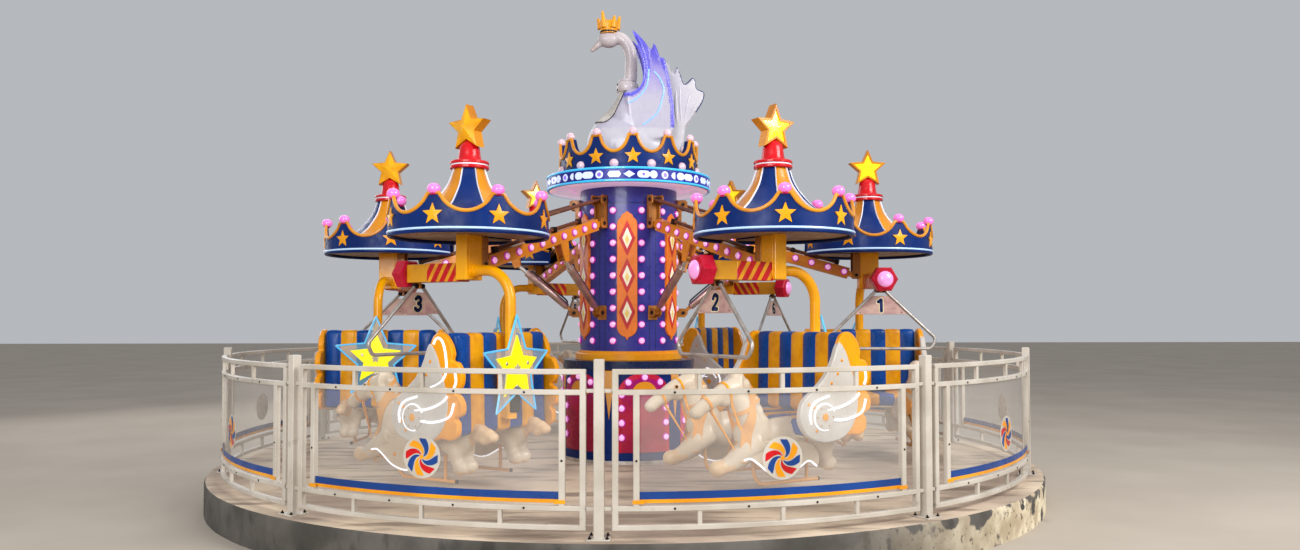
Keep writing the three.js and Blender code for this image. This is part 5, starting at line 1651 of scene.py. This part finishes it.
# Lobes of the mane and the tail: x, z and radius
PONY_MANE = [(0.575, 1.215, 0.045), (0.53, 1.165, 0.052), (0.485, 1.10, 0.055), (0.445, 1.03, 0.055),
             (0.41, 0.965, 0.05), (0.62, 1.225, 0.035)]
PONY_TAIL = [(-0.27, 0.815, 0.062), (-0.34, 0.82, 0.056), (-0.41, 0.81, 0.054), (-0.47, 0.79, 0.05),
             (-0.52, 0.77, 0.042), (-0.38, 0.77, 0.042), (-0.45, 0.745, 0.038)]
LOBE_HALF = 0.05
PONY_VOXEL = 0.0145
PONY_ROUNDS = 4
SKIRT = [(0.615, 0.62), (0.55, 0.626), (0.47, 0.575), (0.40, 0.524), (0.32, 0.495), (0.25, 0.485),
         (0.17, 0.50), (0.096, 0.536), (0.01, 0.575), (-0.065, 0.53), (-0.09, 0.60), (-0.02, 0.70),
         (0.15, 0.74), (0.40, 0.75), (0.56, 0.71)]
SKIRT_LED = SKIRT[:10]
SKIRT_Y = (PONY_Y + 0.105, PONY_Y + 0.121)
# Straps round a pony: centre, normal of their plane, width and paint
STRAPS = [((0.53, 0, 0.92), (0.96, 0, 0.28), 0.07, 0), ((0.555, 0, 0.985), (0.45, 0, 0.9), 0.03, 0),
          ((0.86, 0, 1.03), (0.87, 0, -0.5), 0.018, 1), ((0.70, 0, 1.12), (0.92, 0, -0.35), 0.016, 1),
          ((0.02, 0, 0.77), (1, 0, 0.0), 0.022, 0)]
STRAP_T = 0.007
SKIRT_LINE_R = 0.0085
SKIRT_STUDS = ((0.36, 0.60), (0.12, 0.62))
RUNNER_R = 0.014
RUNNER_TOP_Z = 0.62


def egg(centre, sizes, sides=14, rings=10):
    """An ellipsoid with the half sizes given."""
    return ball(1.0, centre, sides, rings, sizes)


def pony_body():
    """The lump of one pony in the middle plane: x forward, z up, y across."""
    lump = Shape()
    for lobe in PONY_EGGS:
        lump.add(egg(*lobe))
    neck = curve([(0.44, 0, 0.80), (0.52, 0, 0.93), (0.58, 0, 1.04), (0.63, 0, 1.13)], 6)
    lump.add(tube(neck, np.linspace(0.118, 0.072, len(neck)), 16))
    head = curve([(0.58, 0, 1.15), (0.70, 0, 1.12), (0.84, 0, 1.045), (0.945, 0, 0.985)], 6)
    lump.add(tube(head, np.linspace(0.082, 0.048, len(head)), 14))
    lump.add(ball(0.052, (0.95, 0, 0.972), 14, 10, (1.1, 0.95, 0.95)))
    lump.add(egg((0.71, 0, 1.08), (0.085, 0.062, 0.078)))
    for side in (-1, 1):
        ear = curve([(0.60, side * 0.045, 1.17), (0.595, side * 0.055, 1.205), (0.59, side * 0.06, 1.235)], 3)
        lump.add(tube(ear, np.linspace(0.03, 0.008, len(ear)), 8))
        lump.add(ball(0.017, (0.75, side * 0.052, 1.115), 8, 6))
    for x, z, r in PONY_MANE:
        lump.add(egg((x, 0, z), (r, LOBE_HALF, r)))
    for x, z, r in PONY_TAIL:
        lump.add(egg((x, 0, z), (r * 1.35, LOBE_HALF, r)))
    for y, route, thick, thin, hoof in PONY_LEGS:
        path = curve([(x, y, z) for x, z in route], 5)
        lump.add(tube(path, np.linspace(thick, thin, len(path)), 12))
        lump.add(egg((hoof[0], y, hoof[1]), (0.07, 0.06, 0.062), 16))
    return lump


def ponies():
    """The two carved ponies of a seat with their straps, skirts, eyes and runners."""
    points, faces = form_of(sculpted(pony_body(), PONY_VOXEL, PONY_ROUNDS))

    def paint(centre):
        x, _, z = centre
        if x < -0.33 and z > 0.68:
            return 1
        if x > 0.755 and z < 0.66 or x > 0.68 and z < 0.585:
            return 1
        return 1 if z < 0.505 and x < -0.1 else 0

    body = Shape()
    for side in (-1, 1):
        body.add((points + (0, side * PONY_Y, 0), faces), paint)
    mesh = mesh_of("pony_pair", body, ("cream", "pony_pearl"), 60)
    unit_pieces("pony_pair", mesh, "gondola", "cream_shell")
    tree = BVHTree.FromPolygons(points.tolist(), faces)
    tack = Shape()
    for side in (-1, 1):
        middle = side * PONY_Y
        for centre, normal, width, colour in STRAPS:
            band, band_faces = strap(tree, Vector(centre), Vector(normal), width, STRAP_T)
            tack.add((band + (0, middle, 0), band_faces), colour)
        tack.add(slab(curve(SKIRT, 4, True), side, *SKIRT_Y, "xz", 0.005), 2)
        y = side * SKIRT_Y[0]
        tack.add(tube([(x, y + side * 0.012, z) for x, z in curve(SKIRT_LED, 5)], SKIRT_LINE_R, 8), 3)
        for x, z in SKIRT_STUDS:
            tack.add(dome(0.016, 0.012, 12, 4), 1, facing((x, y + side * 0.015, z), (0, side, 0)))
        runner = [(0.455, middle, RUNNER_TOP_Z), (0.43, middle, RUNNER_Z), (-0.17, middle, RUNNER_Z)]
        tack.add(tube(rounded(runner, 0.1, 8), RUNNER_R, 12), 4)
        tack.add(tube([(-0.168, middle, RUNNER_Z), (-0.18, middle, RUNNER_Z)], 0.016, 12), 5)
        tack.add(tube([(-0.06, middle, RUNNER_Z), (-0.06, middle, RUNNER_TOP_Z)], RUNNER_R, 12), 4)
        for sign in (-1, 1):
            eye = facing((0.755, middle + sign * 0.063, 1.12), (0.15, sign, 0.1))
            tack.add(dome(0.013, 0.008, 12, 4), 5, eye)
            tack.add(lathe([(0.012, 0), (0.0165, 0), (0.0165, 0.003), (0.012, 0.004)], 14), 0, eye)
    looks = ("peach", "gold", "cream", "neon_white", "peach", "rubber")
    unit_pieces("pony_tack", mesh_of("pony_tack", tack, looks, 40), "gondola", "gold_paint")


def strap(tree, centre, normal, width, thick, steps=36):
    """A band round the body where a plane through the centre cuts it, found with rays from the centre."""
    normal = normal.normalized()
    side = Vector((0, 1, 0))
    up = normal.cross(side).normalized()
    rings = []
    for i in range(steps):
        a = i * TAU / steps
        away = side * math.cos(a) + up * math.sin(a)
        ring = []
        for shift in (-0.5, 0.0, 0.5):
            start = centre + normal * shift * width
            hit = tree.ray_cast(start + away * 0.4, -away)[0]
            reach = (hit - start).dot(away) if hit is not None and (hit - start).dot(away) > 0.01 else 0.08
            ring.append((start, reach))
        inner = [tuple(start + away * (reach - 0.004)) for start, reach in ring]
        outer = [tuple(start + away * (reach + thick)) for start, reach in ring]
        rings.append([inner[0], outer[0], outer[1], outer[2], inner[2], inner[1]])
    return loft(rings, True)


# Lap bar
def lap_matrix(k):
    """The frame of a lap bar: x across the seat, y up along the hoop, z to its front, at the pivot."""
    up = Vector((LAP_PIVOT[0] - LAP_BAR[0], 0, LAP_PIVOT[1] - LAP_BAR[1])).normalized()
    across = Vector((0, 1, 0))
    front = across.cross(up)
    place = Matrix((across, up, front)).transposed().to_4x4()
    place.translation = (LAP_PIVOT[0], 0, LAP_PIVOT[1])
    return gondola_matrix(k) @ place


# Strokes of the plates' numerals
NUMERALS = {
    "1": [[(-0.024, 0.034), (0.004, 0.055), (0.004, -0.055)]],
    "2": [[(-0.032, 0.026), (-0.022, 0.048), (0.0, 0.055), (0.024, 0.046), (0.031, 0.024), (0.02, 0.0),
           (-0.032, -0.055)],
          [(-0.032, -0.055), (0.034, -0.055)]],
    "3": [[(-0.029, 0.038), (-0.012, 0.054), (0.012, 0.054), (0.029, 0.038), (0.026, 0.014), (0.0, 0.003)],
          [(0.0, 0.003), (0.028, -0.009), (0.034, -0.031), (0.017, -0.052), (-0.01, -0.055),
           (-0.032, -0.038)]],
    "4": [[(0.014, -0.055), (0.014, 0.055), (-0.034, -0.02), (0.036, -0.02)]],
    "5": [[(0.029, 0.055), (-0.022, 0.055), (-0.027, 0.006)],
          [(-0.027, 0.006), (0.005, 0.015), (0.029, -0.004), (0.031, -0.031), (0.012, -0.053),
           (-0.012, -0.055), (-0.031, -0.04)]],
    "6": [[(0.024, 0.05), (0.0, 0.053), (-0.022, 0.031), (-0.031, -0.007), (-0.024, -0.041), (0.0, -0.055),
           (0.027, -0.041), (0.029, -0.014), (0.007, 0.005), (-0.02, -0.003), (-0.03, -0.02)]],
}
STRAIGHT_POINTS = 4
# Half width, height and paint of a numeral's border and of its strokes
STROKES = ((0.0225, 0.0008, 1), (0.0155, 0.0018, 2))
PLATE_T = 0.008
LAP_PIVOT_X = (0.0158, 0.0575)
LAP_CORNER_R = 0.055


def numeral(text, half_width, height):
    """The strokes of a numeral as low ridges along z; a stroke of more than four points is a curve."""
    forms = []
    for stroke in NUMERALS[text]:
        path = np.array(stroke) if len(stroke) <= STRAIGHT_POINTS else curve(stroke, 4)
        for (x0, z0), (x1, z1) in zip(path[:-1], path[1:]):
            run = max(math.hypot(x1 - x0, z1 - z0), 1e-9)
            x, z = np.array((z0 - z1, x1 - x0)) / run * half_width
            outline = [(x0 - x, z0 - z), (x1 - x, z1 - z), (x1 + x, z1 + z), (x0 + x, z0 + z)]
            forms.append(prism(outline, 0, height, "xy"))
        for point in path:
            forms.append(prism(circle(half_width, 12, point), 0, height, "xy"))
    return forms


def lap_bars():
    """The hoops with their pivots, and the number plates on them."""
    drop = -math.hypot(LAP_PIVOT[0] - LAP_BAR[0], LAP_PIVOT[1] - LAP_BAR[1])
    hoop = Shape()
    wide = LAP_HALF + 0.03
    path = [(-0.036, 0.004, 0), (-wide, drop + 0.09, 0), (-LAP_HALF + 0.03, drop, 0)]
    path += [(-x, y, z) for x, y, z in path[::-1]]
    hoop.add(tube(rounded(path, LAP_CORNER_R, 8), LAP_TUBE_R, 16), 0)
    for side in (-1, 1):
        near, far = ((side * x, 0, 0) for x in LAP_PIVOT_X)
        hoop.add(tube([near, far], 0.021, 20), 1)
        hoop.add(turned([(0.014, 0), (0.014, 0.004)], 6), 1, facing(far, (side, 0, 0)))
    mesh = mesh_of("lap_hoop", hoop, ("bar_steel", "dark_steel"), 40)
    unit_pieces("lap_hoop", mesh, "lap_bar", "steel", ["lap_bar"], lap_matrix)
    for k in UNITS:
        plate = Shape()
        low, high = PLATE_HALF
        bottom, top = PLATE_Z[0] - LAP_PIVOT[1], PLATE_Z[1] - LAP_PIVOT[1]
        outline = [(-low, bottom), (low, bottom), (high, top), (-high, top)]
        plate.add(prism(outline, -PLATE_T / 2, PLATE_T / 2, "xy", 0.0015), 0)
        middle = (bottom + top) / 2 - 0.004
        for angle in (math.pi, 0):
            turn = Matrix.Rotation(angle, 4, "Y")
            for half_width, proud, paint in STROKES:
                for form in numeral(PLATES[k], half_width, proud):
                    plate.add(form, paint, at(0, middle, 0) @ turn @ at(0, 0, PLATE_T / 2))
            for x in (-0.2, 0.2):
                screw = at(x, bottom + 0.018, 0) @ turn @ at(0, 0, PLATE_T / 2)
                plate.add(lathe([(0, 0), (0.006, 0), (0.005, 0.002), (0, 0.0025)], 8), 3, screw)
        mesh = mesh_of("number_plate", plate, ("wood", "diamond_white", "number_blue", "dark_steel"), 30)
        piece(f"number_plate_{k}", mesh, f"lap_bar_{k}", "plate_wood", (), lap_matrix(k))


# The swan on the crown, drawn in the plane from beak to tail: x grows towards the tail
SWAN_NECK = [(-0.03, 4.0), (0.012, 4.10), (0.024, 4.22), (0.027, 4.34), (0.008, 4.45), (-0.05, 4.545),
             (-0.13, 4.578), (-0.19, 4.565)]
SWAN_BREAST = [(-0.15, 3.52), (-0.17, 3.635), (-0.103, 3.766), (-0.07, 3.838), (-0.034, 3.93), (-0.015, 4.03)]
SWAN_BREAST_R = (0.17, 0.135, 0.105, 0.084, 0.072, 0.074)
SWAN_WING = [(0.027, 4.612), (0.05, 4.56), (0.085, 4.47), (0.122, 4.353), (0.150, 4.206), (0.137, 4.07),
             (0.09, 3.996), (0.03, 3.96), (-0.02, 3.95), (-0.035, 3.90), (-0.02, 3.80), (0.0, 3.70),
             (0.04, 3.58), (0.10, 3.50), (0.25, 3.47), (0.40, 3.50), (0.463, 3.587), (0.463, 3.76),
             (0.447, 3.912), (0.425, 4.05), (0.402, 4.16), (0.385, 4.25), (0.366, 4.315), (0.343, 4.318),
             (0.320, 4.325), (0.29, 4.41), (0.258, 4.485), (0.24, 4.43), (0.224, 4.39), (0.21, 4.42),
             (0.15, 4.50), (0.085, 4.565)]
SWAN_TAIL = [(0.34, 3.56), (0.32, 3.95), (0.345, 4.20), (0.37, 4.295), (0.39, 4.32), (0.404, 4.30),
             (0.42, 4.318), (0.43, 4.25), (0.445, 4.215), (0.458, 4.235), (0.47, 4.20), (0.482, 4.235),
             (0.502, 4.27), (0.538, 4.196), (0.562, 4.12), (0.585, 4.09), (0.62, 4.113), (0.668, 4.155),
             (0.695, 4.12), (0.703, 4.056), (0.735, 4.03), (0.78, 4.01), (0.786, 3.97), (0.762, 3.90),
             (0.703, 3.806), (0.632, 3.70), (0.591, 3.64), (0.579, 3.56), (0.56, 3.45), (0.50, 3.36),
             (0.42, 3.31), (0.34, 3.32)]
SWAN_TAIL_EDGE = slice(12, 25)
SWAN_VIOLET_TUBES = [[(0.045, 4.575), (0.10, 4.45), (0.136, 4.345), (0.162, 4.20), (0.149, 4.066),
                      (0.097, 3.982), (0.03, 3.94), (-0.035, 3.944)],
                     [(0.075, 4.55), (0.128, 4.45), (0.162, 4.35), (0.188, 4.21), (0.184, 4.11)],
                     [(0.35, 4.295), (0.39, 4.156), (0.424, 3.988), (0.446, 3.821), (0.451, 3.62)]]
SWAN_BLUE_TUBES = [[(0.205, 4.19), (0.189, 4.044), (0.144, 3.955), (0.077, 3.888), (-0.006, 3.843)],
                   [(0.256, 4.167), (0.312, 4.10), (0.356, 3.988), (0.336, 3.877), (0.301, 3.765),
                    (0.245, 3.698), (0.144, 3.62)]]
# Raised feathers of the tail: top, bottom and radius
SWAN_FEATHERS = [((0.49, 4.08), (0.512, 3.60), 0.026), ((0.535, 4.14), (0.55, 3.62), 0.015),
                 ((0.655, 4.07), (0.57, 3.64), 0.014), ((0.745, 3.97), (0.60, 3.68), 0.012)]
SWAN_WING_Y = 0.19
SWAN_WING_T = 0.036
SWAN_TAIL_T = 0.026
SWAN_COLLAR = (-0.012, 4.06)
SWAN_COLLAR_R = 0.114
SWAN_LINE_R = 0.008
SWAN_BEAK_X = -0.315
SWAN_WINGS_FROM = (0.11, 3.6)
SWAN_VOXEL = 0.0125
SWAN_ROUNDS = 6
SWAN_FLOOR = ((-0.8, -0.8, 2.6), (0.8, 0.8, 3.116))


def swan_lump():
    """The swan's body, neck, head, beak and wings as overlapping forms."""
    lump = Shape()
    lump.add(egg((0.02, 0, 3.43), (0.456, 0.25, 0.40), 40, 26))
    breast = curve([(x, 0, z) for x, z in SWAN_BREAST], 6)
    radii = np.interp(np.linspace(0, 5, len(breast)), range(6), SWAN_BREAST_R)
    lump.add(tube(breast, radii, 24))
    neck = curve([(x, 0, z) for x, z in SWAN_NECK], 7)
    lump.add(tube(neck, np.linspace(0.07, 0.06, len(neck)), 20))
    lump.add(egg((-0.207, 0, 4.552), (0.113, 0.078, 0.086), 24, 16))
    beak = curve([(-0.25, 0, 4.545), (-0.30, 0, 4.51), (-0.345, 0, 4.468), (-0.378, 0, 4.438)], 5)
    lump.add(tube(beak, np.linspace(0.046, 0.021, len(beak)), 14))
    lump.add(ball(0.023, (-0.378, 0, 4.438), 12, 8))
    outline = curve(SWAN_WING, 4, True)
    for side in (-1, 1):
        lump.add(egg((0.10, side * 0.10, 3.70), (0.28, 0.128, 0.33), 28, 18))
        lump.add(puffed(outline, side * SWAN_WING_Y, SWAN_WING_T))
    return lump


def swan():
    """The swan with its painted plumage, lit wing lines, tail, collar, breast plate and small crown."""
    points, faces = form_of(sculpted(swan_lump(), SWAN_VOXEL, SWAN_ROUNDS))
    edges = np.array([p for route in SWAN_VIOLET_TUBES for p in curve(route, 6)])

    def plumage(centre):
        if abs(centre[1]) > SWAN_WINGS_FROM[0] and centre[2] > SWAN_WINGS_FROM[1]:
            near = np.hypot(*(edges - centre[[0, 2]]).T).min()
            band = 0.02 + 0.09 * max(0.0, centre[2] - 4.1)
            return 3 if near < band else 5 if near < band + 0.014 else 4
        if centre[2] < SWAN_COLLAR[1]:
            return 0
        return 2 if centre[0] < SWAN_BEAK_X else 1

    body = Shape().add(carved((points, faces), *SWAN_FLOOR), plumage)
    looks = ("swan", "swan_neck", "beak", "wing_violet", "wing", "wing_lilac")
    piece("swan_body", mesh_of("swan_body", body, looks, 60), "mast", "swan_shell", ["swan"])
    tree = BVHTree.FromPolygons(points.tolist(), faces)
    wings = Shape()
    for side in (-1, 1):
        for colour, routes in ((0, SWAN_VIOLET_TUBES), (1, SWAN_BLUE_TUBES)):
            for route in routes:
                path = []
                for x, z in curve(route, 6):
                    hit = tree.ray_cast(Vector((x, side, z)), Vector((0, -side, 0)))[0]
                    path.append((x, hit.y if hit else side * (SWAN_WING_Y + SWAN_WING_T), z))
                wings.add(tube(path, SWAN_LINE_R, 8), colour)
    lights_mesh = mesh_of("swan_wing_lights", wings, ("neon_violet", "neon_blue"), 50)
    piece("swan_wing_lights", lights_mesh, "mast", "neon_blue")
    rest = Shape().add(puffed(curve(SWAN_TAIL, 4, True), 0.0, SWAN_TAIL_T), 0)
    for sign in (-1, 1):
        edge = curve(SWAN_TAIL[SWAN_TAIL_EDGE], 4) - (0.006, 0.004)
        rest.add(tube([(x, sign * SWAN_TAIL_T * 0.5, z) for x, z in edge], 0.0045, 6), 4)
        for (x0, z0), (x1, z1), r in SWAN_FEATHERS:
            y = sign * (SWAN_TAIL_T - r * 0.55)
            path = curve([(x0, y, z0), ((x0 + x1) / 2 - 0.01, y, (z0 + z1) / 2), (x1, y, z1)], 6)
            thick = r * np.sin(np.linspace(0.35, 2.8, len(path)))
            rest.add(tube(path, thick, 10), 0)
    r = SWAN_COLLAR_R
    collar = [(0.06, -0.064), (r - 0.01, -0.06), (r, -0.048), (r, 0.016), (r - 0.008, 0.028), (0.09, 0.04)]
    collar += [(0.086, 0.046), (0.09, 0.05), (0.09, 0.064), (0.084, 0.07), (0.06, 0.074)]
    seat = at(SWAN_COLLAR[0], 0, SWAN_COLLAR[1])
    rest.add(lathe(collar, 48), 1, seat)
    for z in (-0.042, 0.012):
        for bearing in (-25, 25):
            a = math.radians(bearing)
            normal = Vector((-math.cos(a), math.sin(a), 0))
            point = normal * (r - 0.001) + Vector((0, 0, z))
            rest.add(dome(0.012, 0.007, 10, 3), 3, seat @ facing(tuple(point), normal))
    breast_plate(rest, tree)
    crownlet(rest)
    looks = ("swan_white", "swan_neck", "gold", "rubber", "number_blue", "swan_shade")
    piece("swan_details", mesh_of("swan_details", rest, looks, 45), "mast", "swan_shell")


def puffed(outline, y, thick, edge=0.02, spacing=0.016):
    """A plate whose faces swell from its sharp outline to full thickness within the edge's width."""
    outline = np.asarray(outline, float)
    nxt = np.roll(outline, -1, 0)
    run = nxt - outline

    def depth(points):
        """How far points lie from the outline."""
        away = points[:, None] - outline
        share = np.clip((away * run).sum(2) / np.maximum((run**2).sum(1), 1e-12), 0, 1)
        return np.linalg.norm(away - share[..., None] * run, axis=2).min(1)

    low, high = outline.min(0), outline.max(0)
    xs, zs = np.meshgrid(np.arange(low[0], high[0], spacing), np.arange(low[1], high[1], spacing))
    field = np.stack([xs.ravel(), zs.ravel()], 1)
    crossing = (outline[:, 1] > field[:, None, 1]) != (nxt[:, 1] > field[:, None, 1])
    rise = np.where(np.abs(run[:, 1]) < 1e-12, 1e-12, run[:, 1])
    at_x = outline[:, 0] + run[:, 0] * (field[:, None, 1] - outline[:, 1]) / rise
    inside = (crossing & (field[:, None, 0] < at_x)).sum(1) % 2 == 1
    field = field[inside]
    field = field[depth(field) > spacing * 0.4]
    rim = len(outline)
    made = delaunay_2d_cdt([Vector(p) for p in np.vstack([outline, field])], [], [list(range(rim))], 1, 1e-5)
    flat, faces = np.array([tuple(p) for p in made[0]]), made[2]
    swell = 1 - np.clip(depth(flat) / edge, 0, 1)
    half = thick * np.sqrt(1 - swell**2)
    count = len(flat)
    sides = [np.stack([flat[:, 0], y + sign * half, flat[:, 1]], 1) for sign in (-1, 1)]
    return np.vstack(sides), [tuple(f) for f in faces] + [tuple(count + i for i in f) for f in faces]


PLATE_AXIS = [(-0.15, 3.64), (-0.125, 3.72), (-0.1, 3.78), (-0.065, 3.85), (-0.034, 3.93), (-0.015, 4.005)]
PLATE_TURN = 80
PLATE_RIBS = 11
PLATE_FOOT_Z = 3.687
PLATE_TOP_Z = 4.003


def breast_plate(shape, tree):
    """The ribbed plate down the swan's breast, wrapped round it, and the dark line along its border."""
    axis = np.array(PLATE_AXIS)
    rings, border = [], []
    count = PLATE_RIBS * 6
    for j in range(count + 1):
        turn = 2 * j / count - 1
        a = math.radians(turn * PLATE_TURN)
        away = Vector((-math.cos(a), math.sin(a), 0))
        share = abs(turn)
        bottom = PLATE_FOOT_Z - 0.023 * min(share / 0.66, 1.0) + 0.75 * max(share - 0.66, 0.0) ** 2
        rib = 0.008 + 0.009 * abs(math.sin(math.pi * PLATE_RIBS * j / count)) ** 0.7
        ring = []
        for z in np.linspace(bottom, PLATE_TOP_Z, 15):
            start = Vector((float(np.interp(z, axis[:, 1], axis[:, 0])), 0, z))
            hit = tree.ray_cast(start + away * 0.6, -away)[0]
            reach = (hit - start).dot(away) if hit is not None else 0.1
            ring.append((start, away, reach, rib))
        outer = [tuple(s + d * (r + out)) for s, d, r, out in ring]
        rings.append(outer + [tuple(s + d * (r - 0.02)) for s, d, r, out in ring[::-1]])
        border.append(tuple(ring[0][0] + ring[0][1] * (ring[0][2] + 0.014)))
        if j in (0, count):
            sides = [tuple(s + d * (r + 0.012)) for s, d, r, out in ring[1:]]
            border = sides[::-1] + border if j == 0 else border + sides
    shape.add(loft(rings), 5)
    shape.add(tube(border, 0.0034, 8), 3)


CROWNLET_X = -0.205
CROWNLET_BAND = [(0, 4.61), (0.086, 4.61), (0.09, 4.65), (0.1, 4.70), (0.108, 4.728), (0.1, 4.732),
                 (0.08, 4.70), (0, 4.69)]
# Bearing and top of each prong
CROWNLET_PRONGS = ((10, 4.80), (62, 4.765), (118, 4.815), (180, 4.77), (236, 4.82), (302, 4.775))


def crownlet(shape):
    """The small ragged crown on the swan's head."""
    place = at(CROWNLET_X, 0, 0)
    shape.add(lathe(CROWNLET_BAND, 30), 2, place)
    for bearing, top in CROWNLET_PRONGS:
        a = math.radians(bearing)
        route = [(0.084, 4.665), (0.096, 4.72), (0.106, (top + 4.72) / 2), (0.114, top)]
        path = curve([(r * math.cos(a), r * math.sin(a), z) for r, z in route], 4)
        shape.add(tube(path, np.linspace(0.036, 0.011, len(path)), 10), 2, place)
    shape.add(lathe([(0.07, 4.614), (0.092, 4.618), (0.092, 4.632), (0.07, 4.636)], 30), 3, place)


# Studio
FLOOR_REACH = 60.0
# Lamps: name, place, what they point at, power and size
LAMPS = (("key_light", (8.5, -7.5, 7.5), (0, 0, 1.8), 1150, 5.0),
         ("fill_light", (-4.0, -12.5, 5.0), (0, 0, 2.0), 950, 6.0),
         ("back_light", (-7.5, 7.5, 6.0), (0, 0, 1.8), 260, 7.0),
         ("sky_light", (0.0, 2.0, 13.0), (0, 0, 2.0), 280, 9.0))


def studio():
    """The floor, the lamps and the sky."""
    ground = bpy.data.meshes.new("studio_floor")
    corners = [(x * FLOOR_REACH, y * FLOOR_REACH, 0) for x, y in ((-1, -1), (1, -1), (1, 1), (-1, 1))]
    ground.from_pydata(corners, [], [(0, 1, 2, 3)])
    look = Look("studio_floor", 0.9)
    look.wire(look.drift("b2a799", "a99e90", 0.6, 5.0, 0.3), "Base Color")
    ground.materials.append(look.material)
    floor = bpy.data.objects.new("studio_floor", ground)
    bpy.context.scene.collection.objects.link(floor)
    for name, place, target, power, size in LAMPS:
        data = bpy.data.lights.new(name, "AREA")
        data.energy = power
        data.shape = "SQUARE"
        data.size = size
        lamp = bpy.data.objects.new(name, data)
        lamp.location = place
        lamp.rotation_euler = (Vector(target) - Vector(place)).to_track_quat("-Z", "Y").to_euler()
        bpy.context.scene.collection.objects.link(lamp)
    world = bpy.data.worlds.new("studio")
    world.use_nodes = True
    background = world.node_tree.nodes["Background"]
    background.inputs["Color"].default_value = (0.80, 0.83, 0.88, 1)
    background.inputs["Strength"].default_value = 0.58
    bpy.context.scene.world = world
    bpy.context.scene.view_settings.view_transform = "Standard"


CAMERA_PLACE = (-0.067, -9.886, 1.646)
CAMERA_YAW = -1.665
CAMERA_PITCH = 1.624
CAMERA_ROLL = -0.043
CAMERA_LENS = 26.6
CAMERA_SHIFT = 0.0138


def camera():
    data = bpy.data.cameras.new("camera")
    data.lens = CAMERA_LENS
    data.sensor_width = 36
    data.shift_y = CAMERA_SHIFT
    data.clip_end = 200
    made = bpy.data.objects.new("camera", data)
    turn = [Matrix.Rotation(math.radians(a), 4, axis) for a, axis in
            ((CAMERA_YAW, "Z"), (90 + CAMERA_PITCH, "X"), (CAMERA_ROLL, "Z"))]
    made.matrix_world = Matrix.Translation(CAMERA_PLACE) @ turn[0] @ turn[1] @ turn[2]
    bpy.context.scene.collection.objects.link(made)
    bpy.context.scene.camera = made


piece("plinth_slab", plinth_mesh(), "root", "concrete", ["plinth"])
for build in (fence, drum, mast, brackets, crown, arms, hanger, canopy, bench, shells, seat_frame, rear_star,
              ponies, lap_bars, swan, studio, camera):
    build()
